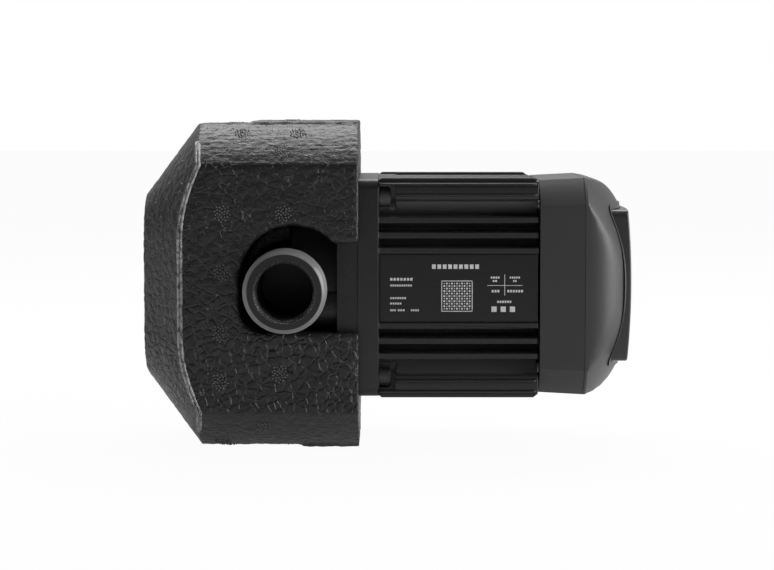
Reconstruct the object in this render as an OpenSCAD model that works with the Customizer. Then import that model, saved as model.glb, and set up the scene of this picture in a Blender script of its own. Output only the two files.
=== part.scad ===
// Wet rotor circulation pump with a pushed-on insulation shell.
// The shaft lies along X, with the pump end at low X and the control box at high X.
// The pipe axis is Y and crosses the shaft axis at the origin. Z is up.

/* [Pipework] */
// Distance between the two union faces
port_to_port = 130; // [126:1:134]
// Outside diameter of the union thread
thread_d = 33.25; // [32:0.25:34]
// Length of the full thread
thread_len = 15; // [13:0.5:17]
// Bevel at the start of the thread
thread_bevel = 2; // [1:0.25:2.5]
// Bore of each port
port_bore_d = 20.8; // [18:0.2:22]
// Countersink round the mouth of each port
port_mouth_bevel = 1.9; // [1:0.1:2]

/* [Pump casing] */
// Side of the square flange
flange_side = 88; // [86:0.5:89]
// Corner radius of the square flange
flange_corner_r = 4.4; // [3:0.2:6]
// Place of the joint between casing and motor along the shaft
joint_x = 28.4; // [27.6:0.1:28.8]
// Thickness of the casing flange
casing_flange_t = 8; // [7:0.5:9]
// Radius of the drum round the impeller
drum_r = 39; // [38.5:0.25:39.5]
// Place of the back of the drum along the shaft
drum_back_x = 2; // [0:0.5:4]
// Radius of the neck behind each thread
neck_r = 14.8; // [14:0.2:15.5]
// How far the neck's foot on the casing stands out past the thread
neck_flare = 0.4; // [0:0.1:0.7]
// Radius of the suction boss behind the pipe axis
boss_r = 17; // [15:0.5:17.3]
// Radius of the cast hump over the delivery passage
hump_r = 9; // [8.5:0.1:9.2]

/* [Impeller] */
// Radius of the impeller
impeller_r = 27; // [24:0.5:28]
// Radius of the impeller eye
eye_r = 9.4; // [8:0.2:9.8]
// Thickness of each impeller shroud
shroud_t = 1.6; // [1.2:0.1:1.8]
// Width of the channel between the shrouds
channel_w = 5; // [4:0.25:5.5]
// Number of blades
blade_count = 6; // [5:1:7]
// Thickness of a blade
blade_t = 1.6; // [1.2:0.1:2]

/* [Rotor and bearings] */
// Shaft diameter
shaft_d = 8; // [7:0.5:8.5]
// Outside diameter of the bearing bushes
bush_d = 15; // [13:0.5:16]
// Radial running clearance of the shaft
running_gap = 0.03; // [0.02:0.01:0.06]
// Free length between the rotor can and the end plate
can_end_gap = 5.6; // [4.6:0.2:8]
// Radius of the rotor over its sleeve
rotor_r = 16.5; // [15.5:0.1:16.6]
// Gap of water between rotor and can
water_gap = 0.5; // [0.4:0.05:0.8]
// Wall of the rotor can
can_t = 0.4; // [0.3:0.05:0.5]

/* [Motor] */
// Thickness of the motor flange
motor_flange_t = 8.7; // [8:0.1:9]
// Length of the ribbed housing in front of the flange
housing_len = 64.4; // [63:0.2:66]
// How far the ribs stay inside the flange on each side
rib_drop = 0.5; // [0.2:0.1:1.2]
// Rib thickness
rib_t = 2.5; // [1.8:0.1:2.8]
// Distance from rib to rib
rib_pitch = 6.15; // [5.8:0.05:6.3]
// Wall of the barrel under the ribs
barrel_wall = 4; // [3:0.25:5]
// Height of the stator teeth, which the coils fill
tooth_h = 6.2; // [5:0.1:7]
// How much shorter the stator stack is than the rotor core
stack_setback = 1; // [0:0.5:4]
// Height of the name plate
plate_h = 27; // [24:0.5:27.4]

/* [Control box] */
// Length of the control box with its panel
box_len = 39.5; // [38.5:0.25:41]
// How far the control box stands past the motor flange on each side
box_overhang = 0.2; // [0:0.1:1]
// How much the round corners of the box take off its diagonal
box_corner_cut = 7.1; // [5.5:0.1:8]
// Length of the box base
base_len = 18; // [17:0.5:19]
// Wall of the box
box_wall = 2.4; // [2:0.1:2.8]
// Radius of the dome that the front would have without its panel
dome_r = 76; // [72:1:84]
// Radius of the rounded shoulder of the front
shoulder_r = 20; // [17:0.5:21]
// Half width of the front panel
panel_half = 31; // [29:0.5:31.5]
// Button diameter
button_d = 14; // [12:0.5:16]
// Button travel
button_travel = 0.7; // [0.4:0.1:0.8]

/* [Insulation shell] */
// Wall of the shell beside the casing flange
shell_wall = 6; // [5:0.25:7]
// Half height of the shell
shell_half_z = 66; // [62:0.5:68]
// How much the round corners of the shell take off its diagonal
shell_corner_cut = 12.3; // [10:0.1:14]
// Distance from the pipe axis to the back of the shell
shell_back = 59; // [56:0.5:64]
// Length of the back bevel at top and bottom
bevel_len = 22; // [18:0.5:26]
// Depth of the back bevel at top and bottom
bevel_drop = 29.4; // [24:0.2:32]
// Half width of the flat back
back_half_y = 27.7; // [24:0.1:30]
// Corner radius of the flat back
back_corner_r = 17; // [12:0.5:20]
// Room round the thread in the pipe slots
slot_room = 5; // [4:0.25:5.5]
// Height of the pads on top and bottom
pad_h = 1.1; // [0.6:0.1:1.6]

/* [Hidden] */

$fn = 96;
// Extra length of every cut past the face that it leaves
overrun = 1;
// Gap between neighbours that only lie beside each other
rest_gap = 0.3;

// Places along the pipe
face_y = port_to_port / 2;
thread_end_y = face_y - thread_bevel;
thread_root_y = thread_end_y - thread_len;
thread_r = thread_d / 2;
port_bore_r = port_bore_d / 2;
neck_straight = 3.7;
neck_root_r = thread_r + neck_flare;
neck_root_share = 0.64;
neck_root_y = drum_r * neck_root_share;

// Hydraulics, from the eye to the joint
casing_wall = 4;
volute_max_r = drum_r - casing_wall;
volute_gap = 3;
volute_min_r = impeller_r + volute_gap;
volute_start_angle = 205;
volute_steps = 48;
register_depth = 3;
register_r = drum_r;
register_x = joint_x - register_depth;
plate_t = 1.2;
plate_x = joint_x - plate_t;
plate_r = register_r - rest_gap;
gasket_w = 3;
impeller_setback = 8;
back_shroud_front_x = joint_x - impeller_setback;
blade_x = back_shroud_front_x - channel_w;
front_shroud_x = blade_x - shroud_t;
back_shroud_end_x = back_shroud_front_x + shroud_t;
shroud_gap = 1.6;
chamber_x = front_shroud_x - shroud_gap;
eye_wall = 1.5;
eye_len = 4.4;
eye_x = front_shroud_x - eye_len;
wear_ring_gap = 0.3;
wear_ring_w = 1.9;
wear_ring_r = eye_r + eye_wall + wear_ring_gap;
wear_ring_len = 3.4;
wear_ring_x = chamber_x - wear_ring_len;
suction_slack = 0.6;
suction_r = eye_r + suction_slack;
hump_wall = 2;
delivery_r = hump_r - hump_wall;
slot_clearance = 0.4;
slot_r = thread_r + slot_room;
slot_x = 2.9;
slot_z = 3.9;
slot_corner_r = 10;
slot_entry_room = 1.8;
slot_entry_top = thread_r + slot_entry_room;
slot_bottom = slot_z - slot_r;
hump_z = slot_bottom + slot_clearance + hump_r;
hump_y = -33;
hump_back_x = -4;
boss_back_x = -thread_r;

// Fasteners of the flange: socket screws
screw_r = 2.5;
screw_head_r = 4.25;
screw_head_h = 5;
screw_tip_gap = 0.7;
screw_len = motor_flange_t + casing_flange_t - screw_tip_gap;
screw_key_af = 4;
screw_key_depth = 2.5;
screw_inset = 7.3;
screw_half = flange_side / 2 - screw_inset;
screw_slack = 0.25;
thread_slack = 0.05;

// Rotor
shaft_r = shaft_d / 2;
bush_r = bush_d / 2;
bush_len = 11;
hub_wall = 3.5;
hub_reach = 4.4;
hub_x = joint_x - hub_reach;
hub_end_x = hub_x + bush_len;
thrust_x = hub_end_x + rest_gap;
thrust_t = 2.2;
thrust_r = 11;
holder_r = 6;
holder_len = 3.6;
end_ring_t = 1;
end_ring_x = thrust_x + holder_len;
core_x = end_ring_x + end_ring_t;
flange_end_x = joint_x + motor_flange_t;
housing_end_x = flange_end_x + housing_len;
end_plate_t = 4;
end_plate_x = housing_end_x - end_plate_t;
carrier_gap = 2.5;
carrier_t = 1.5;
rear_bush_len = 8;
carrier_len = rear_bush_len + carrier_t;
can_end_x = end_plate_x - can_end_gap;
carrier_x = can_end_x - carrier_len;
rotor_end_x = carrier_x - carrier_gap;
core_end_x = rotor_end_x - end_ring_t;
rotor_len = core_end_x - core_x;
sleeve_t = 0.3;
magnet_r = rotor_r - sleeve_t;
magnet_t = 3.7;
magnet_gap = 1.6;
magnet_count = 4;
carrier_flange_t = 2;
can_r = rotor_r + water_gap;
can_flange_w = 16;
can_flange_r = can_r + can_flange_w;
can_flange_t = 0.6;
shaft_end_x = carrier_x + rear_bush_len - rest_gap;
collar_len = 2.4;
collar_r = 6;
nose_setback = 0.8;
shaft_nose_x = eye_x + nose_setback;
hub_r = 6.5;
blade_setback = 0.4;
blade_arc_share = 0.6;
blade_place_share = 0.5;

// Motor housing
front_wall_t = 5.6;
front_wall_end_x = joint_x + front_wall_t;
seal_inset = 3;
seal_r = can_flange_r - seal_inset;
seal_section_r = 1;
stack_len = rotor_len - stack_setback;
core_back_x = core_x + stack_setback / 2;
core_front_x = core_back_x + stack_len;
yoke_t = 4.5;
tooth_count = 6;
tooth_w = 8;
shoe_t = 2.6;
shoe_w = 15;
can_outer_r = can_r + can_t;
stator_bore_r = can_outer_r + rest_gap;
bobbin_wall = 1.2;
bobbin_r0 = stator_bore_r + shoe_t;
bobbin_r1 = bobbin_r0 + tooth_h;
stator_r = bobbin_r1 + yoke_t;
barrel_r = stator_r + barrel_wall;
coil_w = 3.6;
coil_edge = 0.8;
rib_half = flange_side / 2 - rib_drop;
first_rib = 15.2;
side_ribs = 3;
web_w = 7;
column_side = 8.6;
column_corner_r = 3;
pocket_r = 5.6;
pocket_spare = 2;
pocket_end_x = flange_end_x + screw_head_h + pocket_spare;
plateau_drop = 1.2;
plateau_half = rib_half - plateau_drop;
plate_sheet_t = 0.5;
plate_margin = 0.6;
lead_r = 1;
lead_pitch = 3;
lead_z = (bobbin_r0 + bobbin_r1) / 2;
lead_hole_r = 6.5;
grommet_lip = 1.2;

// Control box
box_half = flange_side / 2 + box_overhang;
box_corner_r = box_half * sqrt(2) - box_corner_cut;
box_gap = 0.7;
base_x = housing_end_x + box_gap;
base_end_x = base_x + base_len;
gasket_t = 0.6;
cover_x = base_end_x + gasket_t;
floor_end_x = base_x + box_wall;
seat_ring_w = 3;
shoulder_z = box_half - shoulder_r;
shoulder_lead = 1;
shoulder_x = cover_x - shoulder_lead;
dome_centre_x = shoulder_x - sqrt(pow(dome_r - shoulder_r, 2) - pow(shoulder_z, 2));
dome_steps = 14;
base_screw_inset = 11.2;
base_screw_half = box_half - base_screw_inset;
base_screw_r = 2;
base_screw_head_r = 3.6;
base_screw_head_h = 2.6;
base_screw_len = 10;
window_y = 34;
window_z = 26;
module_y = 30;
module_z = 22;
pad_t = 2;
board_t = 1.6;
board_lift = 5.4;
board_x = floor_end_x + board_lift;
board_inset_y = 8.2;
board_inset_z = 11.2;
board_to_inlet = 2;
inlet_depth = 14.2;
inlet_y0 = box_half - inlet_depth;
board_back_y = board_inset_y - box_half;
board_front_y = inlet_y0 - board_to_inlet;
board_half_z = box_half - board_inset_z;
board_corner_r = 3;
post_inset_y = 9;
post_inset_z = 6;
board_post_y = base_screw_half - post_inset_y;
board_post_z = base_screw_half - post_inset_z;
post_r = 3.5;
small_screw_r = 1.3;
small_screw_head_r = 2.6;
small_screw_head_h = 1.8;
small_screw_len = 5;
panel_corner_r = 3;
panel_gap = 0.25;
panel_wall = 2.2;
panel_face_r = 320;
panel_face_x = base_x + box_len;
collar_wall = 2;
ledge_w = 2.2;
ledge_t = 2;
panel_depth = 12.3;
panel_back_x = panel_face_x - panel_depth;
display_t = 1.6;
display_slack = 1.4;
display_half = panel_half - panel_wall - display_slack;
display_post_half = display_half - post_r;
display_x = panel_back_x;
display_end_x = display_x + display_t;
button_z = -8;
button_gap = 0.4;
button_r = button_d / 2;
button_flange_w = 1.4;
button_flange_t = 1.2;
button_proud = 0.5;
switch_side = 6.2;
switch_h = 3.2;
plunger_r = 1.7;
plunger_slack = 0.08;
plunger_depth = 1.2;
switch_end_x = display_end_x + switch_h;
button_lift = 1.4;
button_x = switch_end_x + button_lift;
lens_r = 1.6;
lens_slack = 0.05;
lens_z = 14;
lens_pitch = 12;
lens_count = 3;
light_side = 3;
light_h = 1.2;
inlet_floor = 3;
inlet_wall = 2;
inlet_h = 25;
inlet_inset = 3.5;
inlet_edge = 1.9;
inlet_x = base_x + inlet_inset;
inlet_len = base_len - inlet_inset - inlet_edge;
inlet_slack = 0.2;
pin_r = 0.8;
pin_pitch = 5.5;
pin_tail = 8;
pin_head = 6;
cap_gap = 2.7;
cap_r = (display_x - board_x - board_t) / 2 - cap_gap;
cap_len = 24;
cap_y = -8;
cap_z = -20;
choke_r = 9;
choke_hole_r = 4;
choke_t = 8;
choke_y = -24;
choke_z = 6;
winding_t = 1.1;
winding_turns = 14;
choke_core_r0 = sqrt(pow(choke_hole_r + winding_t, 2) + pow(winding_t, 2));
link_y = 12;
link_z = 5;
link_place_z = 24.5;

// Shell
shell_half_y = flange_side / 2 + shell_wall;
shell_corner_r = sqrt(pow(shell_half_y, 2) + pow(shell_half_z, 2)) - shell_corner_cut;
shell_overlap = 0.6;
shell_front_x = joint_x + shell_overlap;
bevel_rate = bevel_drop / bevel_len;
back_half_z = shell_half_z - bevel_drop;
bevel_spread = (shell_back + shell_front_x) * bevel_rate;
pocket_gap = 0.6;
relief_r = boss_r + pocket_gap;
relief_depth = 26;
slot_inner_y = 22;
slot_back_x = slot_x - slot_r;
upper_pad_share = 0.5;
lower_pad_share = 0.26;
pad_half_y = sqrt(pow(shell_corner_r, 2) - pow(shell_half_z, 2));
pad_sink = 2;

// A bar along X, from one place to another
module rod_x(x0, x1, r) {
    translate([x0, 0, 0]) rotate([0, 90, 0]) cylinder(h = x1 - x0, r = r);
}

// A bar along Y, from one place to another
module rod_y(y0, y1, r) {
    translate([0, y0, 0]) rotate([-90, 0, 0]) cylinder(h = y1 - y0, r = r);
}

// A bush along X
module bush_x(x0, x1, outer, inner) {
    difference() {
        rod_x(x0, x1, outer);
        rod_x(x0 - overrun, x1 + overrun, inner);
    }
}

// An outline in Y and Z carried along X
module extrude_x(x0, x1) {
    translate([x0, 0, 0]) rotate([90, 0, 90]) linear_extrude(x1 - x0) children();
}

// An outline in X and Z carried along Y
module extrude_y(y0, y1) {
    translate([0, y1, 0]) rotate([90, 0, 0]) linear_extrude(y1 - y0) children();
}

// A body turned about the shaft axis from [place, radius] points
module turned_x(points) {
    rotate([0, 90, 0]) rotate_extrude() polygon([for (p = points) [p[1], p[0]]]);
}

// A body turned about the pipe axis from [place, radius] points
module turned_y(points) {
    rotate([-90, 0, 0]) rotate_extrude() polygon([for (p = points) [p[1], p[0]]]);
}

// A block given by its lowest and highest corners
module block(low, high) {
    translate(low) cube(high - low);
}

// A rectangle with round corners, centred
module round_rect(a, b, r) {
    union() {
        square([a - 2 * r, b], center = true);
        square([a, b - 2 * r], center = true);
        for (i = [-1, 1], j = [-1, 1]) translate([i * (a / 2 - r), j * (b / 2 - r)]) circle(r);
    }
}

// Copies at the four corners of a square in Y and Z
module at_corners(half_y, half_z) {
    for (i = [-1, 1], j = [-1, 1]) translate([0, i * half_y, j * half_z]) children();
}

// A screw along X with its head at high X and its seat at the given place
module screw_x(seat, len, r, head_r, head_h, key_af, key_depth) {
    difference() {
        union() {
            rod_x(seat - len, seat + head_h / 2, r);
            rod_x(seat, seat + head_h, head_r);
        }
        translate([seat + head_h - key_depth, 0, 0]) rotate([0, 90, 0])
            cylinder(h = key_depth + overrun, r = key_af / sqrt(3), $fn = 6);
    }
}

// Section of the shell: two pairs of flats and round corners about the shaft
module shell_section() {
    intersection() {
        circle(shell_corner_r);
        square([2 * shell_half_y, 2 * shell_half_z], center = true);
    }
}

// The bevelled back: a round-cornered flat that spreads at one rate all round
module shell_back_bevel() {
    inner_y = back_half_y - back_corner_r;
    inner_z = back_half_z - back_corner_r;
    x0 = -shell_back;
    x1 = shell_front_x;
    extrude_y(-inner_y, inner_y) polygon([
        [x0, -back_half_z], [x1, -back_half_z - bevel_spread],
        [x1, back_half_z + bevel_spread], [x0, back_half_z]]);
    translate([0, 0, -inner_z]) linear_extrude(2 * inner_z) polygon([
        [x0, -back_half_y], [x1, -back_half_y - bevel_spread],
        [x1, back_half_y + bevel_spread], [x0, back_half_y]]);
    at_corners(inner_y, inner_z) translate([x0, 0, 0]) rotate([0, 90, 0])
        cylinder(h = x1 - x0, r1 = back_corner_r, r2 = back_corner_r + bevel_spread);
}

// Outline of a pipe slot: round at top and back, square at the bottom, open to the motor
module slot_outline() {
    translate([slot_x, slot_z]) circle(slot_r);
    translate([slot_x, slot_bottom])
        square([shell_front_x + overrun - slot_x, slot_entry_top - slot_bottom]);
    translate([slot_back_x, slot_bottom + slot_corner_r])
        square([slot_r, slot_z - slot_bottom - slot_corner_r]);
    translate([slot_back_x + slot_corner_r, slot_bottom])
        square([slot_r - slot_corner_r, slot_r]);
    translate([slot_back_x + slot_corner_r, slot_bottom + slot_corner_r]) circle(slot_corner_r);
}

// Outline of the channel through the shell that the necks slide along
module channel_outline() {
    circle(neck_root_r + slot_clearance);
    translate([0, -neck_root_r - slot_clearance])
        square([shell_front_x + overrun, 2 * (neck_root_r + slot_clearance)]);
}

module insulation_shell() {
    flange_pocket_x = joint_x - casing_flange_t - pocket_gap;
    shell_len = shell_front_x + shell_back;
    color("#232323") difference() {
        union() {
            intersection() {
                extrude_x(-shell_back, shell_front_x) shell_section();
                shell_back_bevel();
            }
            // Pads on the top and bottom flats
            block([shell_front_x - shell_len * upper_pad_share, -pad_half_y, shell_half_z - pad_sink],
                  [shell_front_x, pad_half_y, shell_half_z + pad_h]);
            block([shell_front_x - shell_len * lower_pad_share, -pad_half_y, -shell_half_z - pad_h],
                  [shell_front_x, pad_half_y, -shell_half_z + pad_sink]);
        }
        extrude_x(flange_pocket_x, shell_front_x + overrun)
            round_rect(flange_side + 2 * pocket_gap, flange_side + 2 * pocket_gap, flange_corner_r);
        rod_x(drum_back_x - pocket_gap, shell_front_x, drum_r + pocket_gap);
        for (side = [-1, 1]) scale([1, side, 1])
            extrude_y(slot_inner_y, shell_half_y + overrun) slot_outline();
        extrude_y(-shell_half_y, shell_half_y) channel_outline();
        rod_x(slot_back_x - relief_depth, drum_back_x, relief_r);
    }
}

// The growing chamber round the impeller
module volute_outline() {
    polygon([for (i = [0:volute_steps])
        let (share = i / volute_steps, a = volute_start_angle + 360 * share,
             r = volute_min_r + (volute_max_r - volute_min_r) * share)
        [r * cos(a), r * sin(a)]]);
}

// One port: neck, thread and bevel, turned about the pipe axis towards high Y
module port() {
    turned_y([
        [0, 0], [0, neck_root_r], [neck_root_y, neck_root_r],
        [thread_root_y - neck_straight, neck_r],
        [thread_root_y, neck_r], [thread_root_y, thread_r], [thread_end_y, thread_r],
        [face_y, thread_r - thread_bevel], [face_y, 0]]);
}

// The bore of one port with its countersink
module port_bore(depth_y) {
    turned_y([
        [depth_y, 0], [depth_y, port_bore_r], [face_y - port_mouth_bevel, port_bore_r],
        [face_y, port_bore_r + port_mouth_bevel],
        [face_y + overrun, port_bore_r + port_mouth_bevel + overrun], [face_y + overrun, 0]]);
}

// The pipe half of the casting: both ports, the boss behind them and the delivery hump
module pipe_form() {
    rod_x(boss_back_x, joint_x, boss_r);
    translate([0, hump_y, hump_z]) rod_x(hump_back_x, joint_x - casing_flange_t / 2, hump_r);
    port();
    mirror([0, 1, 0]) port();
}

// All that the water and the wear ring fill, from port to port through the volute
module water_way() {
    port_bore(-suction_r / 2);
    mirror([0, 1, 0]) port_bore(-hump_y - delivery_r);
    rod_x(0, chamber_x + overrun, suction_r);
    rod_x(wear_ring_x, chamber_x + overrun, wear_ring_r + wear_ring_w);
    extrude_x(chamber_x, joint_x + overrun) volute_outline();
    rod_x(register_x, joint_x + overrun, register_r);
    translate([0, hump_y, hump_z]) rod_x(0, register_x, delivery_r);
}

// The volute half of the casting, round the pipe half
module pump_casing() {
    color("#2b2b2d") difference() {
        union() {
            extrude_x(joint_x - casing_flange_t, joint_x)
                round_rect(flange_side, flange_side, flange_corner_r);
            rod_x(drum_back_x, joint_x, drum_r);
        }
        pipe_form();
        water_way();
        at_corners(screw_half, screw_half)
            rod_x(joint_x - casing_flange_t - overrun, joint_x + overrun, screw_r + thread_slack);
    }
}

module port_pipe() {
    color("#2b2b2d") difference() {
        pipe_form();
        water_way();
    }
}

module wear_ring() {
    color("#b9bcc0") bush_x(wear_ring_x, chamber_x, wear_ring_r + wear_ring_w, wear_ring_r);
}

module casing_gasket() {
    color("#141414") bush_x(register_x, plate_x, plate_r, plate_r - gasket_w);
}

module bearing_plate() {
    hole_count = 2;
    hole_r = 1.5;
    color("#c4c6c9") difference() {
        union() {
            rod_x(plate_x, joint_x, plate_r);
            rod_x(hub_x, hub_end_x, bush_r + hub_wall);
        }
        rod_x(hub_x - overrun, hub_end_x + overrun, bush_r);
        for (i = [0:hole_count - 1]) rotate([360 * i / hole_count, 0, 0])
            translate([0, 0, bush_r + hub_wall + 2 * hole_r])
                rod_x(plate_x - overrun, joint_x + overrun, hole_r);
    }
}

module front_bearing() {
    color("#e8e6df") bush_x(hub_x, hub_end_x, bush_r, shaft_r + running_gap);
}

module rear_bearing() {
    color("#e8e6df")
        bush_x(carrier_x, carrier_x + rear_bush_len, bush_r, shaft_r + running_gap);
}

module rear_bearing_carrier() {
    color("#cfd1d3") difference() {
        union() {
            rod_x(carrier_x, can_end_x, bush_r + hub_wall);
            rod_x(can_end_x - carrier_flange_t, can_end_x, can_r);
        }
        rod_x(carrier_x - overrun, carrier_x + rear_bush_len, bush_r);
    }
}

module rotor_can() {
    color("#c9cbce") turned_x([
        [joint_x, can_r], [joint_x, can_flange_r], [joint_x + can_flange_t, can_flange_r],
        [joint_x + can_flange_t, can_outer_r], [can_end_x + can_t, can_outer_r],
        [can_end_x + can_t, 0], [can_end_x, 0], [can_end_x, can_r]]);
}

module can_seal() {
    x = joint_x + can_flange_t + seal_section_r;
    color("#101010") translate([x, 0, 0]) rotate([0, 90, 0])
        rotate_extrude() translate([seal_r, 0]) circle(seal_section_r, $fn = 32);
}

// One straight rib in the section, pointing towards high Y
module rib_outline(place) {
    translate([0, place - rib_t / 2]) square([rib_half, rib_t]);
}

// Section of the ribbed housing, without its bore
module housing_outline() {
    gap_count = round(2 * first_rib / rib_pitch);
    inner_pitch = 2 * first_rib / gap_count;
    column_place = rib_half - column_side / 2;
    circle(barrel_r);
    for (side = [0:3]) rotate(90 * side) {
        for (i = [0:side_ribs - 1], j = [-1, 1]) rib_outline(j * (first_rib + i * rib_pitch));
        if (side != 2)
            for (i = [1:gap_count - 1]) rib_outline(i * inner_pitch - first_rib);
    }
    // Flat under the name plate, on the side of low Y
    translate([-plateau_half, -plate_h / 2 - plate_margin])
        square([plateau_half, plate_h + 2 * plate_margin]);
    for (i = [-1, 1], j = [-1, 1]) translate([i * column_place, j * column_place])
        round_rect(column_side, column_side, column_corner_r);
    for (a = [45, 135]) rotate(a) square([2 * column_place * sqrt(2), web_w], center = true);
}

module motor_housing() {
    color("#1c1c1d") difference() {
        union() {
            extrude_x(joint_x, flange_end_x) round_rect(flange_side, flange_side, flange_corner_r);
            extrude_x(joint_x, housing_end_x) housing_outline();
        }
        // Seats of the can and its seal, and the bores
        rod_x(joint_x - overrun, joint_x + can_flange_t, can_flange_r);
        bush_x(joint_x, joint_x + can_flange_t + 2 * seal_section_r,
               seal_r + seal_section_r, seal_r - seal_section_r);
        rod_x(joint_x - overrun, housing_end_x, can_outer_r + rest_gap);
        rod_x(front_wall_end_x, housing_end_x + overrun, stator_r);
        // Holes and head pockets of the flange screws
        at_corners(screw_half, screw_half) {
            rod_x(joint_x - overrun, flange_end_x + overrun, screw_r + screw_slack);
            rod_x(flange_end_x, pocket_end_x, pocket_r);
        }
        at_corners(base_screw_half, base_screw_half)
            rod_x(housing_end_x - base_screw_len, housing_end_x + overrun, base_screw_r + thread_slack);
    }
}

module housing_end_plate() {
    color("#a9abad") difference() {
        rod_x(end_plate_x, housing_end_x, stator_r);
        translate([0, 0, lead_z]) rod_x(end_plate_x - overrun, housing_end_x + overrun, lead_hole_r);
    }
}

// Copies round the shaft, one for each tooth of the stator
module at_teeth() {
    for (i = [0:tooth_count - 1]) rotate([360 * i / tooth_count, 0, 0]) children();
}

module stator_core() {
    color("#8b8d90") extrude_x(core_back_x, core_front_x) {
        difference() {
            circle(stator_r);
            circle(stator_r - yoke_t);
        }
        difference() {
            union() {
                intersection() {
                    circle(stator_bore_r + shoe_t);
                    for (i = [0:tooth_count / 2 - 1]) rotate(360 * i / tooth_count)
                        square([shoe_w, 2 * stator_r], center = true);
                }
                for (i = [0:tooth_count / 2 - 1]) rotate(360 * i / tooth_count)
                    square([tooth_w, 2 * stator_r - yoke_t], center = true);
            }
            circle(stator_bore_r);
        }
    }
}

// A rectangular ring round one tooth, which points up
module tooth_ring(r0, r1, inner, outer) {
    difference() {
        block([core_back_x - outer, -tooth_w / 2 - outer, r0],
              [core_front_x + outer, tooth_w / 2 + outer, r1]);
        block([core_back_x - inner, -tooth_w / 2 - inner, r0 - overrun],
              [core_front_x + inner, tooth_w / 2 + inner, r1 + overrun]);
    }
}

module coil_bobbins() {
    flange_r0 = bobbin_r0 + shoe_t / 2;
    color("#e9e4d4") at_teeth() {
        tooth_ring(flange_r0, bobbin_r1 - yoke_t / 2, 0, bobbin_wall);
        tooth_ring(flange_r0, flange_r0 + coil_edge, 0, bobbin_wall + coil_w);
    }
}

module stator_coils() {
    flange_r0 = bobbin_r0 + shoe_t / 2;
    color("#b4662e") at_teeth()
        tooth_ring(flange_r0 + coil_edge, bobbin_r1 - yoke_t / 2, bobbin_wall, bobbin_wall + coil_w);
}

module motor_leads() {
    coil_end_x = core_front_x + bobbin_wall + coil_w;
    color("#7a3030") for (i = [-1:1]) translate([0, i * lead_pitch, lead_z])
        rod_x(coil_end_x, board_x, lead_r);
}

module lead_grommet() {
    color("#202020") difference() {
        translate([0, 0, lead_z]) union() {
            rod_x(housing_end_x, floor_end_x, lead_hole_r);
            rod_x(floor_end_x, floor_end_x + grommet_lip, lead_hole_r + grommet_lip);
        }
        for (i = [-1:1]) translate([0, i * lead_pitch, lead_z])
            rod_x(housing_end_x - overrun, floor_end_x + grommet_lip + overrun, lead_r);
    }
}

module flange_screws() {
    color("#3a3b3d") at_corners(screw_half, screw_half)
        screw_x(flange_end_x, screw_len, screw_r, screw_head_r, screw_head_h, screw_key_af,
                screw_key_depth);
}

module name_plate() {
    color("#0e0e0f") translate([0, -plateau_half, 0])
        block([flange_end_x + plate_margin, -plate_sheet_t, -plate_h / 2],
              [housing_end_x - plate_margin, 0, plate_h / 2]);
}

// Section of the control box, drawn in from its outside by an inset
module box_section(inset) {
    intersection() {
        circle(box_corner_r - inset);
        square(2 * (box_half - inset), center = true);
    }
}

// Half height of the front at an angle on its shoulder, and the matching place
function shoulder_point(a, inset) = [
    shoulder_x + (shoulder_r - inset) * sin(a), shoulder_z + (shoulder_r - inset) * cos(a)];

// Side view of the box: straight to the shoulder, then shoulder and dome
function dome_points(inset) =
    let (meet = atan2(shoulder_x - dome_centre_x, shoulder_z))
    concat(
        [for (i = [0:dome_steps]) shoulder_point(meet * i / dome_steps, inset)],
        [for (i = [1:dome_steps]) let (a = meet + (90 - meet) * i / dome_steps)
            [dome_centre_x + (dome_r - inset) * sin(a), (dome_r - inset) * cos(a)]]);

module dome_outline(inset) {
    half = dome_points(inset);
    back = [[base_x, shoulder_z + shoulder_r - inset]];
    upper = concat(back, half);
    polygon(concat(upper, [for (i = [len(upper) - 2:-1:0]) [upper[i][0], -upper[i][1]]]));
}

// The whole box with its domed front, drawn in by an inset
module box_form(inset, x0, x1) {
    intersection() {
        extrude_x(x0, x1) box_section(inset);
        extrude_y(-box_half, box_half) dome_outline(inset);
        rotate([90, 0, 0]) extrude_y(-box_half, box_half) dome_outline(inset);
    }
}

module box_base() {
    color("#4b4b4d") difference() {
        union() {
            difference() {
                extrude_x(base_x, base_end_x) box_section(0);
                extrude_x(floor_end_x, base_end_x + overrun) box_section(box_wall);
            }
            bush_x(housing_end_x, base_x + box_wall / 2, barrel_r - rest_gap,
                   barrel_r - rest_gap - seat_ring_w);
            at_corners(board_post_y, board_post_z) rod_x(floor_end_x - box_wall / 2, board_x, post_r);
        }
        block([housing_end_x - overrun, -window_y / 2, -window_z / 2],
              [floor_end_x + overrun, window_y / 2, window_z / 2]);
        translate([0, 0, lead_z]) rod_x(housing_end_x, floor_end_x + overrun, lead_hole_r);
        at_corners(base_screw_half, base_screw_half)
            rod_x(base_x - overrun, floor_end_x + overrun, base_screw_r + screw_slack);
        at_corners(board_post_y, board_post_z)
            rod_x(board_x - small_screw_len, board_x + overrun, small_screw_r + thread_slack);
        block([inlet_x - inlet_slack, box_half - 2 * box_wall, -inlet_h / 2 - inlet_slack],
              [inlet_x + inlet_len + inlet_slack, box_half + overrun, inlet_h / 2 + inlet_slack]);
    }
}

module base_screws() {
    color("#8f9194") at_corners(base_screw_half, base_screw_half)
        screw_x(floor_end_x, base_screw_len, base_screw_r, base_screw_head_r, base_screw_head_h,
                base_screw_r, base_screw_head_h / 2);
}

module box_gasket() {
    color("#161616") extrude_x(base_end_x, cover_x) difference() {
        box_section(gasket_t);
        box_section(box_wall);
    }
}

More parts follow.
